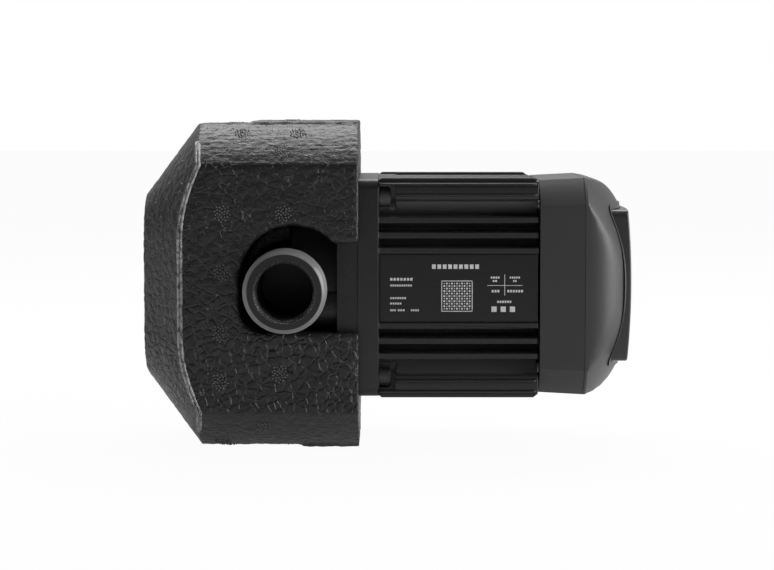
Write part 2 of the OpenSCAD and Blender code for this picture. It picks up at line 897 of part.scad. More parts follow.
module box_cover() {
    opening = 2 * (panel_half + panel_gap);
    collar = opening + 2 * collar_wall;
    ledge_x = panel_back_x - ledge_t;
    color("#505052") difference() {
        union() {
            difference() {
                box_form(0, cover_x, panel_face_x + dome_r);
                box_form(box_wall, cover_x - overrun, panel_face_x + dome_r);
            }
            intersection() {
                extrude_x(ledge_x, panel_face_x) round_rect(collar, collar, panel_corner_r + collar_wall);
                box_form(0, cover_x, panel_face_x + dome_r);
            }
        }
        extrude_x(panel_back_x, panel_face_x + dome_r) round_rect(opening, opening, panel_corner_r);
        extrude_x(ledge_x - overrun, panel_face_x)
            round_rect(opening - 2 * ledge_w, opening - 2 * ledge_w, panel_corner_r);
    }
}

// The slightly domed face of the panel, as a ball whose crown is drawn in by an inset
module panel_ball(inset) {
    translate([panel_face_x - panel_face_r, 0, 0]) sphere(panel_face_r - inset, $fn = 360);
}

module front_panel() {
    side = 2 * panel_half;
    inner = side - 2 * panel_wall;
    color("#3e3e41") difference() {
        intersection() {
            extrude_x(panel_back_x, panel_face_x + overrun) round_rect(side, side, panel_corner_r);
            panel_ball(0);
        }
        difference() {
            intersection() {
                extrude_x(panel_back_x - overrun, panel_face_x)
                    round_rect(inner, inner, panel_corner_r / 2);
                panel_ball(panel_wall);
            }
            at_corners(display_post_half, display_post_half)
                rod_x(display_end_x, panel_face_x, post_r);
        }
        at_corners(display_post_half, display_post_half)
            rod_x(display_end_x - overrun, display_end_x + small_screw_len, small_screw_r + thread_slack);
        translate([0, 0, button_z]) rod_x(panel_back_x, panel_face_x + overrun, button_r + button_gap);
        at_lenses() rod_x(panel_back_x, panel_face_x + overrun, lens_r + lens_slack);
    }
}

// Copies at the places of the indicator lenses
module at_lenses() {
    for (i = [0:lens_count - 1])
        translate([0, (i - (lens_count - 1) / 2) * lens_pitch, lens_z]) children();
}

module indicator_lenses() {
    color("#7fd08a") intersection() {
        at_lenses() rod_x(display_end_x + light_h + rest_gap, panel_face_x, lens_r);
        panel_ball(0);
    }
}

module indicator_lights() {
    color("#e6efe2") at_lenses()
        block([display_end_x, -light_side / 2, -light_side / 2],
              [display_end_x + light_h, light_side / 2, light_side / 2]);
}

module control_board() {
    mid_y = (board_front_y + board_back_y) / 2;
    color("#1f6b3a") difference() {
        extrude_x(board_x, board_x + board_t) translate([mid_y, 0])
            round_rect(board_front_y - board_back_y, 2 * board_half_z, board_corner_r);
        at_corners(board_post_y, board_post_z)
            rod_x(board_x - overrun, board_x + board_t + overrun, small_screw_r + screw_slack);
    }
}

module display_board() {
    color("#1f6b3a") difference() {
        extrude_x(display_x, display_end_x)
            round_rect(2 * display_half, 2 * display_half, board_corner_r / 2);
        at_corners(display_post_half, display_post_half)
            rod_x(display_x - overrun, display_end_x + overrun, small_screw_r + screw_slack);
    }
}

module board_link() {
    color("#151515") translate([0, 0, link_place_z])
        block([board_x + board_t, -link_y / 2, -link_z / 2], [display_x, link_y / 2, link_z / 2]);
}

module board_screws() {
    color("#b5b7ba") {
        at_corners(board_post_y, board_post_z)
            screw_x(board_x + board_t, small_screw_len, small_screw_r, small_screw_head_r,
                    small_screw_head_h, small_screw_r, small_screw_head_h / 2);
        at_corners(display_post_half, display_post_half) translate([2 * display_x, 0, 0])
            mirror([1, 0, 0])
                screw_x(display_x, small_screw_len, small_screw_r, small_screw_head_r,
                        small_screw_head_h, small_screw_r, small_screw_head_h / 2);
    }
}

module button_switch() {
    color("#c9c9c4") translate([0, 0, button_z]) difference() {
        block([display_end_x, -switch_side / 2, -switch_side / 2],
              [switch_end_x, switch_side / 2, switch_side / 2]);
        rod_x(display_end_x + plunger_depth, switch_end_x + overrun, plunger_r + plunger_slack);
    }
}

module switch_plunger() {
    color("#2a2a2a") translate([0, 0, button_z])
        rod_x(display_end_x + plunger_depth + 2 * button_travel, button_x, plunger_r);
}

module button_cap() {
    color("#2e2e31") translate([0, 0, button_z]) union() {
        rod_x(button_x, button_x + button_flange_t, button_r + button_flange_w);
        intersection() {
            rod_x(button_x, panel_face_x + button_proud, button_r);
            translate([0, 0, -button_z]) panel_ball(-button_proud);
        }
    }
}

module capacitor() {
    color("#24364d") translate([board_x + board_t + cap_r, 0, cap_z])
        rod_y(cap_y - cap_len / 2, cap_y + cap_len / 2, cap_r);
}

module choke_core() {
    color("#3d4148") translate([0, choke_y, choke_z]) bush_x(
        board_x + board_t + winding_t, board_x + board_t + choke_t - winding_t,
        choke_r - winding_t, choke_core_r0);
}

// Turns round the choke core, each a plain band
module filter_choke() {
    color("#b4662e") translate([0, choke_y, choke_z])
        for (i = [0:winding_turns - 1]) rotate([360 * i / winding_turns, 0, 0]) difference() {
            block([board_x + board_t, -winding_t, choke_hole_r],
                  [board_x + board_t + choke_t, winding_t, choke_r]);
            block([board_x + board_t + winding_t, -overrun - winding_t, choke_hole_r + winding_t],
                  [board_x + board_t + choke_t - winding_t, overrun + winding_t, choke_r - winding_t]);
        }
}

module power_module() {
    color("#1a1a1c") block([housing_end_x + pad_t, -module_y / 2, -module_z / 2],
                           [board_x, module_y / 2, module_z / 2]);
}

module heat_pad() {
    color("#9fb3c4") block([housing_end_x, -module_y / 2, -module_z / 2],
                           [housing_end_x + pad_t, module_y / 2, module_z / 2]);
}

// Copies at the places of the inlet's contacts
module at_pins() {
    for (i = [-1:1]) translate([board_x + board_t + pin_r, 0, i * pin_pitch]) children();
}

module power_inlet() {
    color("#19191a") difference() {
        block([inlet_x, inlet_y0, -inlet_h / 2], [inlet_x + inlet_len, box_half, inlet_h / 2]);
        block([inlet_x + inlet_wall, inlet_y0 + inlet_floor, -inlet_h / 2 + inlet_wall],
              [inlet_x + inlet_len - inlet_wall, box_half + overrun, inlet_h / 2 - inlet_wall]);
        at_pins() rod_y(inlet_y0 - overrun, inlet_y0 + inlet_floor + overrun, pin_r);
    }
}

module inlet_pins() {
    color("#c8a24a") at_pins() rod_y(inlet_y0 - pin_tail, inlet_y0 + inlet_floor + pin_head, pin_r);
}

module shaft() {
    color("#d5d3cc") rod_x(shaft_nose_x, shaft_end_x, shaft_r);
}

module rotor_core() {
    color("#7f8286") bush_x(core_x, core_end_x, magnet_r - magnet_t, shaft_r);
}

module rotor_magnets() {
    color("#4e5257") extrude_x(core_x, core_end_x) difference() {
        circle(magnet_r);
        circle(magnet_r - magnet_t);
        for (i = [0:magnet_count / 2 - 1]) rotate(360 * i / magnet_count)
            square([magnet_gap, 2 * rotor_r], center = true);
    }
}

module rotor_sleeve() {
    color("#c9cbce") bush_x(core_x, core_end_x, rotor_r, magnet_r);
}

module rotor_end_rings() {
    color("#c9cbce") {
        bush_x(end_ring_x, core_x, rotor_r, shaft_r);
        bush_x(core_end_x, rotor_end_x, rotor_r, shaft_r);
    }
}

// One backward-curved blade: the upper half of a round wall between eye and rim
module blade_outline() {
    arc_r = impeller_r * blade_arc_share;
    arc_place = impeller_r * blade_place_share;
    intersection() {
        translate([arc_place, 0]) difference() {
            circle(arc_r);
            circle(arc_r - blade_t);
        }
        difference() {
            circle(impeller_r - blade_setback);
            circle(eye_r + blade_setback);
        }
        translate([-impeller_r, 0]) square([2 * impeller_r, impeller_r]);
    }
}

module impeller() {
    color("#e3dfd2") difference() {
        union() {
            rod_x(back_shroud_front_x, back_shroud_end_x, impeller_r);
            rod_x(blade_x, hub_x - rest_gap, hub_r);
            extrude_x(blade_x, back_shroud_front_x + shroud_t / 2)
                for (i = [0:blade_count - 1]) rotate(360 * i / blade_count) blade_outline();
        }
        rod_x(blade_x - overrun, hub_x + overrun, shaft_r);
    }
}

module impeller_shroud() {
    color("#e3dfd2") turned_x([
        [eye_x, eye_r], [eye_x, eye_r + eye_wall], [front_shroud_x, eye_r + eye_wall],
        [front_shroud_x, impeller_r], [blade_x, impeller_r], [blade_x, eye_r]]);
}

module impeller_collar() {
    color("#b9bcc0") bush_x(blade_x - collar_len, blade_x, collar_r, shaft_r);
}

module thrust_ring() {
    color("#2c2c2e") bush_x(thrust_x, thrust_x + thrust_t, thrust_r, holder_r);
}

module thrust_ring_holder() {
    color("#17181a") union() {
        bush_x(thrust_x, thrust_x + holder_len, holder_r, shaft_r);
        bush_x(thrust_x + thrust_t, thrust_x + holder_len, thrust_r, shaft_r);
    }
}

insulation_shell();
pump_casing();
port_pipe();
wear_ring();
casing_gasket();
bearing_plate();
front_bearing();
rear_bearing();
rear_bearing_carrier();
rotor_can();
can_seal();
motor_housing();
housing_end_plate();
stator_core();
coil_bobbins();
stator_coils();
motor_leads();
lead_grommet();
flange_screws();
name_plate();
box_base();
base_screws();
box_gasket();
box_cover();
front_panel();
indicator_lenses();
indicator_lights();
control_board();
display_board();
board_link();
board_screws();
button_switch();
capacitor();
filter_choke();
choke_core();
power_module();
heat_pad();
power_inlet();
inlet_pins();
shaft();
rotor_core();
rotor_magnets();
rotor_sleeve();
rotor_end_rings();
impeller();
impeller_shroud();
impeller_collar();
thrust_ring();
thrust_ring_holder();
button_cap();
switch_plunger();
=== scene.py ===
# Finish of a wet rotor circulation pump with its pushed-on foam shell.
# The shaft lies along X with the control box at high X, the pipe axis is Y, and Z is up.
from math import cos, pi, radians, sin, sqrt

import bmesh
import bpy
import numpy as np
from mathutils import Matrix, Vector


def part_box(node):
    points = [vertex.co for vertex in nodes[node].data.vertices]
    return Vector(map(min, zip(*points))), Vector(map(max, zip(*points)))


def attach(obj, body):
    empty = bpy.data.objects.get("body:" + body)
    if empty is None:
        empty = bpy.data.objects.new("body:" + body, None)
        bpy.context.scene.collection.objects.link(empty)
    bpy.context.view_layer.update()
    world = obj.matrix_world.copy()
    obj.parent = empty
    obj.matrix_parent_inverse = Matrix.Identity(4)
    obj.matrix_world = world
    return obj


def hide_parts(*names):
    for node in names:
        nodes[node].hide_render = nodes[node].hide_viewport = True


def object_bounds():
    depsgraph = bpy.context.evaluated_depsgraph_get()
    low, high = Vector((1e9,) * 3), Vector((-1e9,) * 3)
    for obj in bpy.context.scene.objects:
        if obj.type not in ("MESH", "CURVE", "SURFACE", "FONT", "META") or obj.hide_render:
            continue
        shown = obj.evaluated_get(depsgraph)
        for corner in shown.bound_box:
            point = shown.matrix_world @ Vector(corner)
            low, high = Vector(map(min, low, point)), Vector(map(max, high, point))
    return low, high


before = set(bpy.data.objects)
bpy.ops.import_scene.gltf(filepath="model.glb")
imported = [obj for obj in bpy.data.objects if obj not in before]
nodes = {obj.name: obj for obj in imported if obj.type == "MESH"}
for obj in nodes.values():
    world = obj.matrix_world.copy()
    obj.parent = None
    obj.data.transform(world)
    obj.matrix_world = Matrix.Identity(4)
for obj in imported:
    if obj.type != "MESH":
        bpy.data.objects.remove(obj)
cad_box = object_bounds()

MM = 0.001
# Vertices nearer than this are one, in a copy of a node and in a new grid
weld_copy = 0.002 * MM
weld_grid = 0.001 * MM
# Faces of a node's copy that meet at less than this are joined
flat_angle = radians(0.4)

# Places taken from the frame, in metres
shell_low, shell_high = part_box("insulation_shell")
housing_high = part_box("motor_housing")[1]
plate_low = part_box("name_plate")[0]
screws_low, screws_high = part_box("flange_screws")
base_low, base_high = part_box("box_base")
panel_low, panel_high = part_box("front_panel")
button_low, button_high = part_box("button_cap")
lenses_low, lenses_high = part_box("indicator_lenses")

# Camera: one metre from the shaft, on the near union's side and a little above it
camera_distance = 1.0
camera_elevation = radians(4.4)
camera_lens = 110.5
camera_sensor = 36.0
aim = Vector((0.0405, 0.0, -0.002))


def place_camera():
    """A level camera that looks along +Y and slightly down at the middle of the pump."""
    data = bpy.data.cameras.new("camera")
    data.lens = camera_lens
    data.sensor_width = camera_sensor
    data.clip_start = 0.05
    camera = bpy.data.objects.new("camera", data)
    back = Vector((0, -cos(camera_elevation), sin(camera_elevation)))
    camera.location = aim + back * camera_distance
    camera.rotation_euler = (pi / 2 - camera_elevation, 0, 0)
    bpy.context.scene.collection.objects.link(camera)
    bpy.context.scene.camera = camera


class Wire:
    """An output socket that can stand in a sum: each operator adds its Math node."""

    def __init__(self, finish, socket):
        self.finish = finish
        self.socket = socket

    def __add__(self, other):
        return self.finish.math("ADD", self, other)

    __radd__ = __add__

    def __sub__(self, other):
        return self.finish.math("SUBTRACT", self, other)

    def __rsub__(self, other):
        return self.finish.math("SUBTRACT", other, self)

    def __mul__(self, other):
        return self.finish.math("MULTIPLY", self, other)

    __rmul__ = __mul__

    def __abs__(self):
        return self.finish.math("ABSOLUTE", self)

    def step(self, low, high):
        """0 under low and 1 over high, with a smooth rise between them."""
        ends = {"From Min": low, "From Max": high, "To Min": 0.0, "To Max": 1.0}
        return self.finish.node(
            "ShaderNodeMapRange", {"interpolation_type": "SMOOTHSTEP"}, {"Value": self, **ends})


class Finish:
    """A material or world while its nodes are being written."""

    def __init__(self, block, coordinate="Object"):
        self.block = block
        block.use_nodes = True
        self.tree = block.node_tree
        self.tree.nodes.clear()
        self.place = self.node("ShaderNodeTexCoord", output=coordinate)

    def node(self, kind, settings=None, inputs=None, output=0):
        """Any node: its settings first, then values or wires for its sockets."""
        made = self.tree.nodes.new(kind)
        for key, value in (settings or {}).items():
            setattr(made, key, value)
        for key, value in (inputs or {}).items():
            if isinstance(value, Wire):
                self.tree.links.new(value.socket, made.inputs[key])
            else:
                made.inputs[key].default_value = value
        return Wire(self, made.outputs[output]) if made.outputs else made

    def math(self, operation, *values):
        """A Math node of this operation on wires or numbers."""
        return self.node("ShaderNodeMath", {"operation": operation}, dict(enumerate(values)))

    def noise(self, size, detail=2.0, place=None):
        """Soft blotches of about this size in millimetres, from 0 to 1."""
        inputs = {"Vector": place or self.place, "Scale": 1 / (size * MM), "Detail": detail}
        return self.node("ShaderNodeTexNoise", None, inputs)

    def cells(self, size, feature="F1", place=None):
        """Distances in a cell pattern of about this size in millimetres."""
        inputs = {"Vector": place or self.place, "Scale": 1 / (size * MM)}
        return self.node("ShaderNodeTexVoronoi", {"feature": feature}, inputs, "Distance")

    def stretched(self, scale):
        """The place, scaled along each axis."""
        return self.node("ShaderNodeMapping", None, {"Vector": self.place, "Scale": scale})

    def warped(self, size, reach):
        """The place, pushed about by noise of a size, by up to a reach, both in millimetres."""
        inputs = {"Vector": self.place, "Scale": 1 / (size * MM), "Detail": 1.0}
        push = self.node("ShaderNodeTexNoise", None, inputs, "Color")
        middle = self.node(
            "ShaderNodeVectorMath", {"operation": "SUBTRACT"}, {0: push, 1: (0.5, 0.5, 0.5)})
        scaled = self.node(
            "ShaderNodeVectorMath", {"operation": "SCALE"}, {0: middle, "Scale": 2 * reach * MM})
        return self.node("ShaderNodeVectorMath", {"operation": "ADD"}, {0: self.place, 1: scaled})

    def axis(self, letter):
        """One coordinate of the place, in metres."""
        return self.node("ShaderNodeSeparateXYZ", None, {0: self.place}, letter)

    def mix(self, share, low, high):
        """A colour between two: low where the share is 0, high where it is 1."""
        inputs = {0: share, 6: colour(low), 7: colour(high)}
        return self.node("ShaderNodeMix", {"data_type": "RGBA"}, inputs, 2)

    def bump(self, height, depth):
        """A normal from a height of 0 to 1 that stands for this depth in millimetres."""
        inputs = {"Height": height, "Distance": depth * MM, "Strength": 1.0}
        return self.node("ShaderNodeBump", None, inputs)

    def shade(self, tint, roughness, normal=None, **sockets):
        """The one shader of the material and its output."""
        inputs = {"Base Color": colour(tint), "Roughness": roughness}
        inputs.update({key.replace("_", " "): value for key, value in sockets.items()})
        if normal:
            inputs["Normal"] = normal
        shader = self.node("ShaderNodeBsdfPrincipled", None, inputs)
        self.node("ShaderNodeOutputMaterial", None, {"Surface": shader})
        return self.block


def colour(value):
    """A grey level or three numbers as a colour with alpha; a wire stays as it is."""
    if isinstance(value, Wire):
        return value
    if isinstance(value, (int, float)):
        return (value, value, value, 1.0)
    return (*value, 1.0)


def new_finish(name):
    """An empty material of this name, ready for its nodes."""
    return Finish(bpy.data.materials.new(name))


def bead_foam():
    """Black bead foam: seams between the beads, some of them open and lighter, over a faint skin.

    Seams are deepest on the lower half, and the skin is drawn out on the round corners.
    """
    f = new_finish("bead_foam")
    rise = f.axis("Z")
    edge = f.cells(bead_pitch / MM, "DISTANCE_TO_EDGE", f.warped(5.0, 1.0))
    seam = 1 - edge.step(0.0, 0.16)
    line = 1 - edge.step(0.0, 0.05)
    low_half = 1 - rise.step(-34 * MM, 4 * MM)
    patch = f.noise(9.0, 3.0).step(0.44, 0.62)
    torn = f.noise(2.4, 2.0).step(0.50, 0.58)
    open_seam = line * torn * (0.3 + 0.7 * patch)
    speck = 1 - f.cells(1.5).step(0.05, 0.16)
    dust = speck * f.noise(6.0).step(0.56, 0.66)
    grain = f.noise(0.7, 2.0)
    tint = f.mix(f.noise(20.0, 3.0), 0.010, 0.018)
    tint = f.mix(open_seam * 0.8, tint, 0.16)
    tint = f.mix(dust * 0.4, tint, 0.14)
    curved = abs(rise).step(flat_half_z - 1 * MM, flat_half_z + 1 * MM)
    drawn = f.noise(1.4, 2.0, f.stretched((0.12, 1, 1)))
    hollow = seam * (0.18 + 0.82 * low_half) * (1 - 0.65 * curved)
    height = 0.5 - 0.5 * hollow + 0.5 * open_seam + 0.25 * curved * drawn
    lump = f.noise(2.0, 2.0)
    normal = f.bump(height + 0.12 * grain + 0.30 * lump, 0.85)
    roughness = 0.27 + 0.16 * grain + 0.08 * lump
    return f.shade(tint, roughness, normal)


def seam_foam():
    """The drawn flash along the shell's bevel: rubbed lighter than the beads, and tinted lighter
    still as a painted highlight.
    """
    f = new_finish("seam_foam")
    rub = f.noise(1.6, 3.0)
    # Partly painted highlight: the light tint also stands in for the highlight that runs along the
    # flash's lips
    tint = f.mix(rub.step(0.3, 0.6), 0.07, 0.42)
    return f.shade(tint, 0.42 - 0.1 * rub, f.bump(f.noise(0.5), 0.08))


def vent_foam():
    """The tiny pips of the steam vents."""
    f = new_finish("vent_foam")
    rub = f.noise(1.1, 2.0)
    return f.shade(f.mix(rub, 0.08, 0.24), 0.38 + 0.1 * rub)


def painted_iron():
    """Rough iron casting under black dip paint; the union faces are turned smooth."""
    f = new_finish("painted_iron")
    pipe = f.node("ShaderNodeVectorMath", {"operation": "MULTIPLY"}, {0: f.place, 1: (1, 0, 1)})
    radius = f.node("ShaderNodeVectorMath", {"operation": "LENGTH"}, {0: pipe}, "Value")
    turned = abs(f.axis("Y")).step(thread_root - 1.5 * MM, thread_root - 0.5 * MM)
    bevel = turned * radius.step(bevel_inner_r, bevel_inner_r + 0.1 * MM)
    low = 1 - f.axis("Z").step(-10 * MM, 2 * MM)
    beyond = radius.step(port_mouth_r + 1.0 * MM, port_mouth_r + 1.3 * MM)
    mouth = turned * (1 - beyond) * radius.step(port_mouth_r - 0.5 * MM, port_mouth_r - 0.1 * MM)
    cast = f.noise(0.9, 4.0)
    lumps = f.noise(3.2, 3.0)
    height = (1 - turned) * (0.55 * cast + 0.45 * lumps)
    grooves = f.noise(0.35, 2.0, f.stretched((1, 0.08, 1))) * turned * 0.08
    chatter = f.noise(0.55, 3.0) * mouth * 0.5
    normal = f.bump(height + grooves + chatter, 0.35)
    tint = f.mix(f.noise(7.0, 4.0), 0.007, 0.020)
    # Painted reflection: the turned end bevel is tinted light grey to stand in for its reflection
    # of the side lights
    tint = f.mix(bevel, tint, 0.22)
    bore = 1 - radius.step(port_bore_r, port_bore_r + 0.6 * MM)
    tint = f.mix(bore, tint, (0.012, 0.008, 0.007))
    # Painted highlights: light speckles in the mouth, denser towards the bottom, stand in for
    # glints on its rough edge
    speck = f.noise(0.45, 3.0).step(0.54, 0.62) * mouth * (0.25 + 0.75 * low)
    tint = f.mix(speck, tint, 0.40)
    roughness = 0.44 + 0.16 * lumps - 0.12 * turned - 0.10 * bevel
    return f.shade(tint, roughness, normal)


def black_paint():
    """Satin black paint on the ribbed casting: orange peel, rubbed spots, and painted light in the
    gaps between the ribs.
    """
    f = new_finish("black_paint")
    peel = f.noise(1.3, 3.0)
    fine = f.noise(0.3, 2.0)
    rub = f.noise(9.0, 5.0).step(0.66, 0.78) * f.noise(0.8, 3.0).step(0.5, 0.62)
    out = f.math("MAXIMUM", abs(f.axis("Y")), abs(f.axis("Z")))
    gap = 1 - out.step(housing_high.y - 5 * MM, housing_high.y - 1 * MM)
    tint = f.mix(f.noise(30.0, 2.0), 0.013, 0.020)
    # Painted light: the gaps between the ribs are tinted lighter to stand in for light reaching
    # into them
    tint = f.mix(gap * 0.35, tint, 0.30)
    tint = f.mix(rub * 0.5, tint, 0.10)
    normal = f.bump(0.7 * peel + 0.3 * fine, 0.045)
    return f.shade(tint, 0.32 + 0.10 * peel + 0.15 * rub, normal)


def grained_plastic(name, dark, light, roughness, pits=0.05):
    """Spark-eroded matt plastic: a fine pitted grain, and a cast from handling."""
    f = new_finish(name)
    pit = f.cells(0.42)
    fine = f.noise(0.25, 2.0)
    handled = f.noise(26.0, 4.0)
    speck = 1 - f.cells(2.3).step(0.03, 0.07)
    dust = speck * f.noise(8.0).step(0.58, 0.64)
    tint = f.mix(handled, dark, light)
    tint = f.mix(dust * 0.5, tint, 0.16)
    normal = f.bump(0.6 * pit + 0.4 * fine, pits)
    return f.shade(tint, roughness + 0.1 * (handled - 0.5) + 0.06 * fine, normal)


def foil():
    """The black foil of the name plate: flat, with a faint brushed sheen."""
    f = new_finish("foil")
    brushed = f.noise(0.8, 3.0, f.stretched((0.06, 1, 1)))
    return f.shade(f.mix(brushed, 0.003, 0.007), 0.30 + 0.1 * brushed, f.bump(brushed, 0.006))


def print_white():
    """Screen print: slightly uneven white ink."""
    f = new_finish("print_white")
    ink = f.noise(0.5, 3.0)
    return f.shade(f.mix(ink.step(0.3, 0.6), 0.66, 0.90), 0.5)


def steel(name, dark, light, roughness, stretch=(1, 1, 1), line=0.5, metallic=1.0):
    """Metal with drawn or turned lines along the axes that the stretch makes long."""
    f = new_finish(name)
    lines = f.noise(line, 3.0, f.stretched(stretch))
    stain = f.noise(8.0, 3.0)
    tint = f.mix(0.6 * lines + 0.4 * stain, dark, light)
    normal = f.bump(lines, 0.012)
    return f.shade(tint, roughness + 0.14 * lines + 0.06 * stain, normal, Metallic=metallic)


def laminations():
    """Stacked sheets seen on their edges: a fine line every half millimetre along the shaft."""
    f = new_finish("laminations")
    sheet = 0.5 * MM
    wave = f.axis("X") * (2 * pi / sheet)
    edge = f.math("SINE", wave) * 0.5 + 0.5
    tint = f.mix(edge, 0.16, 0.34)
    return f.shade(tint, 0.42 + 0.1 * f.noise(3.0), f.bump(edge, 0.04), Metallic=1.0)


def winding():
    """Enamelled wire laid side by side round the shaft axis."""
    f = new_finish("winding")
    wire = 0.55 * MM
    wave = (f.axis("Y") + f.axis("Z") * 0.35) * (2 * pi / wire)
    turn = f.math("SINE", wave) * 0.5 + 0.5
    # Painted shading: each turn is tinted bright on its crown and dark in the crease where it
    # meets the next turn
    tint = f.mix(turn, (0.16, 0.045, 0.012), (0.55, 0.20, 0.07))
    return f.shade(tint, 0.28 + 0.1 * f.noise(2.0), f.bump(turn, 0.12), Metallic=0.85)


def circuit_board():
    """Green mask over copper tracks, with tinned pads."""
    f = new_finish("circuit_board")
    grid = {"Vector": f.place, "Scale": 1 / (3.1 * MM), "Randomness": 0.35}
    tracks = f.node("ShaderNodeTexVoronoi", {"feature": "DISTANCE_TO_EDGE"}, grid, "Distance")
    track = 1 - tracks.step(0.05, 0.09)
    pad = 1 - f.cells(2.54).step(0.10, 0.15)
    tint = f.mix(track, (0.012, 0.085, 0.030), (0.03, 0.17, 0.06))
    tint = f.mix(pad, tint, 0.55)
    return f.shade(tint, 0.3 + 0.1 * pad, f.bump(track + pad, 0.03), Coat_Weight=0.3)


def smooth_stuff(name, dark, light, roughness, grain=1.5, depth=0.02, **sockets):
    """Ceramic, rubber, jackets and caps: an even colour that drifts, over a slight grain."""
    f = new_finish(name)
    drift = f.noise(6.0, 3.0)
    bumps = f.noise(grain, 2.0)
    tint = f.mix(drift, dark, light)
    return f.shade(tint, roughness + 0.08 * (drift - 0.5), f.bump(bumps, depth), **sockets)


def lens_stuff():
    """A small clear green light guide, unlit."""
    f = new_finish("lens_stuff")
    drift = f.noise(2.0)
    tint = f.mix(drift, (0.03, 0.13, 0.06), (0.06, 0.20, 0.10))
    return f.shade(tint, 0.12 + 0.05 * drift, None, Coat_Weight=0.6)


def smooth_by_angle(bm, angle):
    """Every face smooth, and every edge sharper than the angle split."""
    for face in bm.faces:
        face.smooth = True
    for edge in bm.edges:
        edge.smooth = edge.calc_face_angle(pi) < angle


def cad_copy(names, name, angle=radians(28)):
    """A new object with the nodes' meshes, doubles merged and flat faces joined."""
    mesh = bpy.data.meshes.new(name)
    bm = bmesh.new()
    for node in names:
        bm.from_mesh(nodes[node].data)
    for face in bm.faces:
        face.material_index = 0
    bmesh.ops.remove_doubles(bm, verts=bm.verts, dist=weld_copy)
    bmesh.ops.dissolve_limit(bm, angle_limit=flat_angle, verts=bm.verts, edges=bm.edges)
    smooth_by_angle(bm, angle)
    bm.to_mesh(mesh)
    bm.free()
    return link(name, mesh)


def link(name, mesh):
    """A new object in the scene with this mesh."""
    obj = bpy.data.objects.new(name, mesh)
    bpy.context.scene.collection.objects.link(obj)
    return obj


def round_edges(obj, width, segments=2, angle=radians(40), clamp=True):
    """A Bevel modifier on the edges sharper than the angle, with flat faces kept flat."""
    bevel = obj.modifiers.new("round_edges", "BEVEL")
    bevel.width = width
    bevel.segments = segments
    bevel.limit_method = "ANGLE"
    bevel.angle_limit = angle
    bevel.harden_normals = True
    bevel.use_clamp_overlap = clamp
    bevel.miter_outer = "MITER_ARC"
    return obj


def round_chosen(obj, is_chosen, width, segments, angle):
    """Rounds the edges that a test picks in the mesh itself, and smooths it anew."""
    bm = bmesh.new()
    bm.from_mesh(obj.data)
    edges = [edge for edge in bm.edges if is_chosen(edge)]
    bmesh.ops.bevel(
        bm, geom=edges, offset=width, segments=segments, profile=0.5, affect="EDGES",
        clamp_overlap=True)
    smooth_by_angle(bm, angle)
    bm.to_mesh(obj.data)
    bm.free()


def grid_mesh(name, grids, angle=radians(35)):
    """One mesh from point grids of shape (rows, columns, 3).

    Each grid is (points, wraps): rows follow one parameter, columns the other, and columns
    close on themselves where wraps is true. A row whose points agree becomes a pole.
    """
    points, faces, start = [], [], 0
    for grid, wraps in grids:
        rows, columns = grid.shape[:2]
        index = start + np.arange(rows * columns).reshape(rows, columns)
        if wraps:
            index = np.concatenate([index, index[:, :1]], axis=1)
        quads = np.stack(
            [index[:-1, :-1], index[:-1, 1:], index[1:, 1:], index[1:, :-1]], axis=-1)
        faces.append(quads.reshape(-1, 4))
        points.append(grid.reshape(-1, 3))
        start += rows * columns
    mesh = bpy.data.meshes.new(name)
    mesh.from_pydata(np.concatenate(points), [], np.concatenate(faces))
    bm = bmesh.new()
    bm.from_mesh(mesh)
    bmesh.ops.remove_doubles(bm, verts=bm.verts, dist=weld_grid)
    bmesh.ops.dissolve_degenerate(bm, edges=bm.edges, dist=weld_grid / 10)
    bmesh.ops.recalc_face_normals(bm, faces=bm.faces)
    smooth_by_angle(bm, angle)
    bm.to_mesh(mesh)
    bm.free()
    return link(name, mesh)


def turned_about_x(profile, y, z, columns=96):
    """A surface of revolution about a line along X.

    profile is a list of (x, r); point (i, j) is (x_i, y + r_i cos a_j, z + r_i sin a_j).
    """
    x, r = np.array(profile, float).T
    a = np.linspace(0, 2 * pi, columns, endpoint=False)
    grid = np.stack([
        np.broadcast_to(x[:, None], (len(x), columns)),
        y + r[:, None] * np.cos(a), z + r[:, None] * np.sin(a)], axis=-1)
    return grid


def swept(path, across, up, profile):
    """A profile carried along a path: point (i, j) is path_i + u_j across + v_j up_i.

    Each end is closed by a pole in the middle of its row.
    """
    u, v = np.array(profile, float).T
    grid = path[:, None] + u[None, :, None] * across + v[None, :, None] * up[:, None]
    poles = np.repeat(grid[[0, -1]].mean(axis=1, keepdims=True), len(u), axis=1)
    return np.concatenate([poles[:1], grid, poles[1:]])


def arc(centre, radius, start, end, count):
    """Points of a round corner, from one angle to another in degrees, as (along, out)."""
    a = np.radians(np.linspace(start, end, count))
    return [(centre[0] + radius * cos(t), centre[1] + radius * sin(t)) for t in a]


def bar(x0, x1, z0, z1, y, thick):
    """A box from a plane of constant y to another this thick behind it, as a closed grid."""
    outline = np.array([(x0, z0), (x1, z0), (x1, z1), (x0, z1)])
    lid = np.stack([outline[:, 0], np.full(4, y), outline[:, 1]], axis=1)
    floor = lid + np.array([0, thick, 0])
    grids = [np.repeat(lid.mean(axis=0)[None], 4, axis=0), lid, floor,
             np.repeat(floor.mean(axis=0)[None], 4, axis=0)]
    return np.stack(grids), True


def points_of(mesh, what="co"):
    """The places, or another vector, of a mesh's vertices as rows of an array."""
    points = np.empty(len(mesh.vertices) * 3, np.float32)
    mesh.vertices.foreach_get(what, points)
    return points.reshape(-1, 3)


def move_points(mesh, points):
    """Puts a mesh's vertices at the rows of an array."""
    mesh.vertices.foreach_set("co", points.ravel())
    mesh.update()


def finish_piece(obj, material, body, slot, *replaced):
    """Material, body and the nodes that the piece stands for; the slot argument is not used."""
    obj.data.materials.clear()
    obj.data.materials.append(material)
    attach(obj, body)
    if replaced:
        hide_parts(*replaced)
    return obj


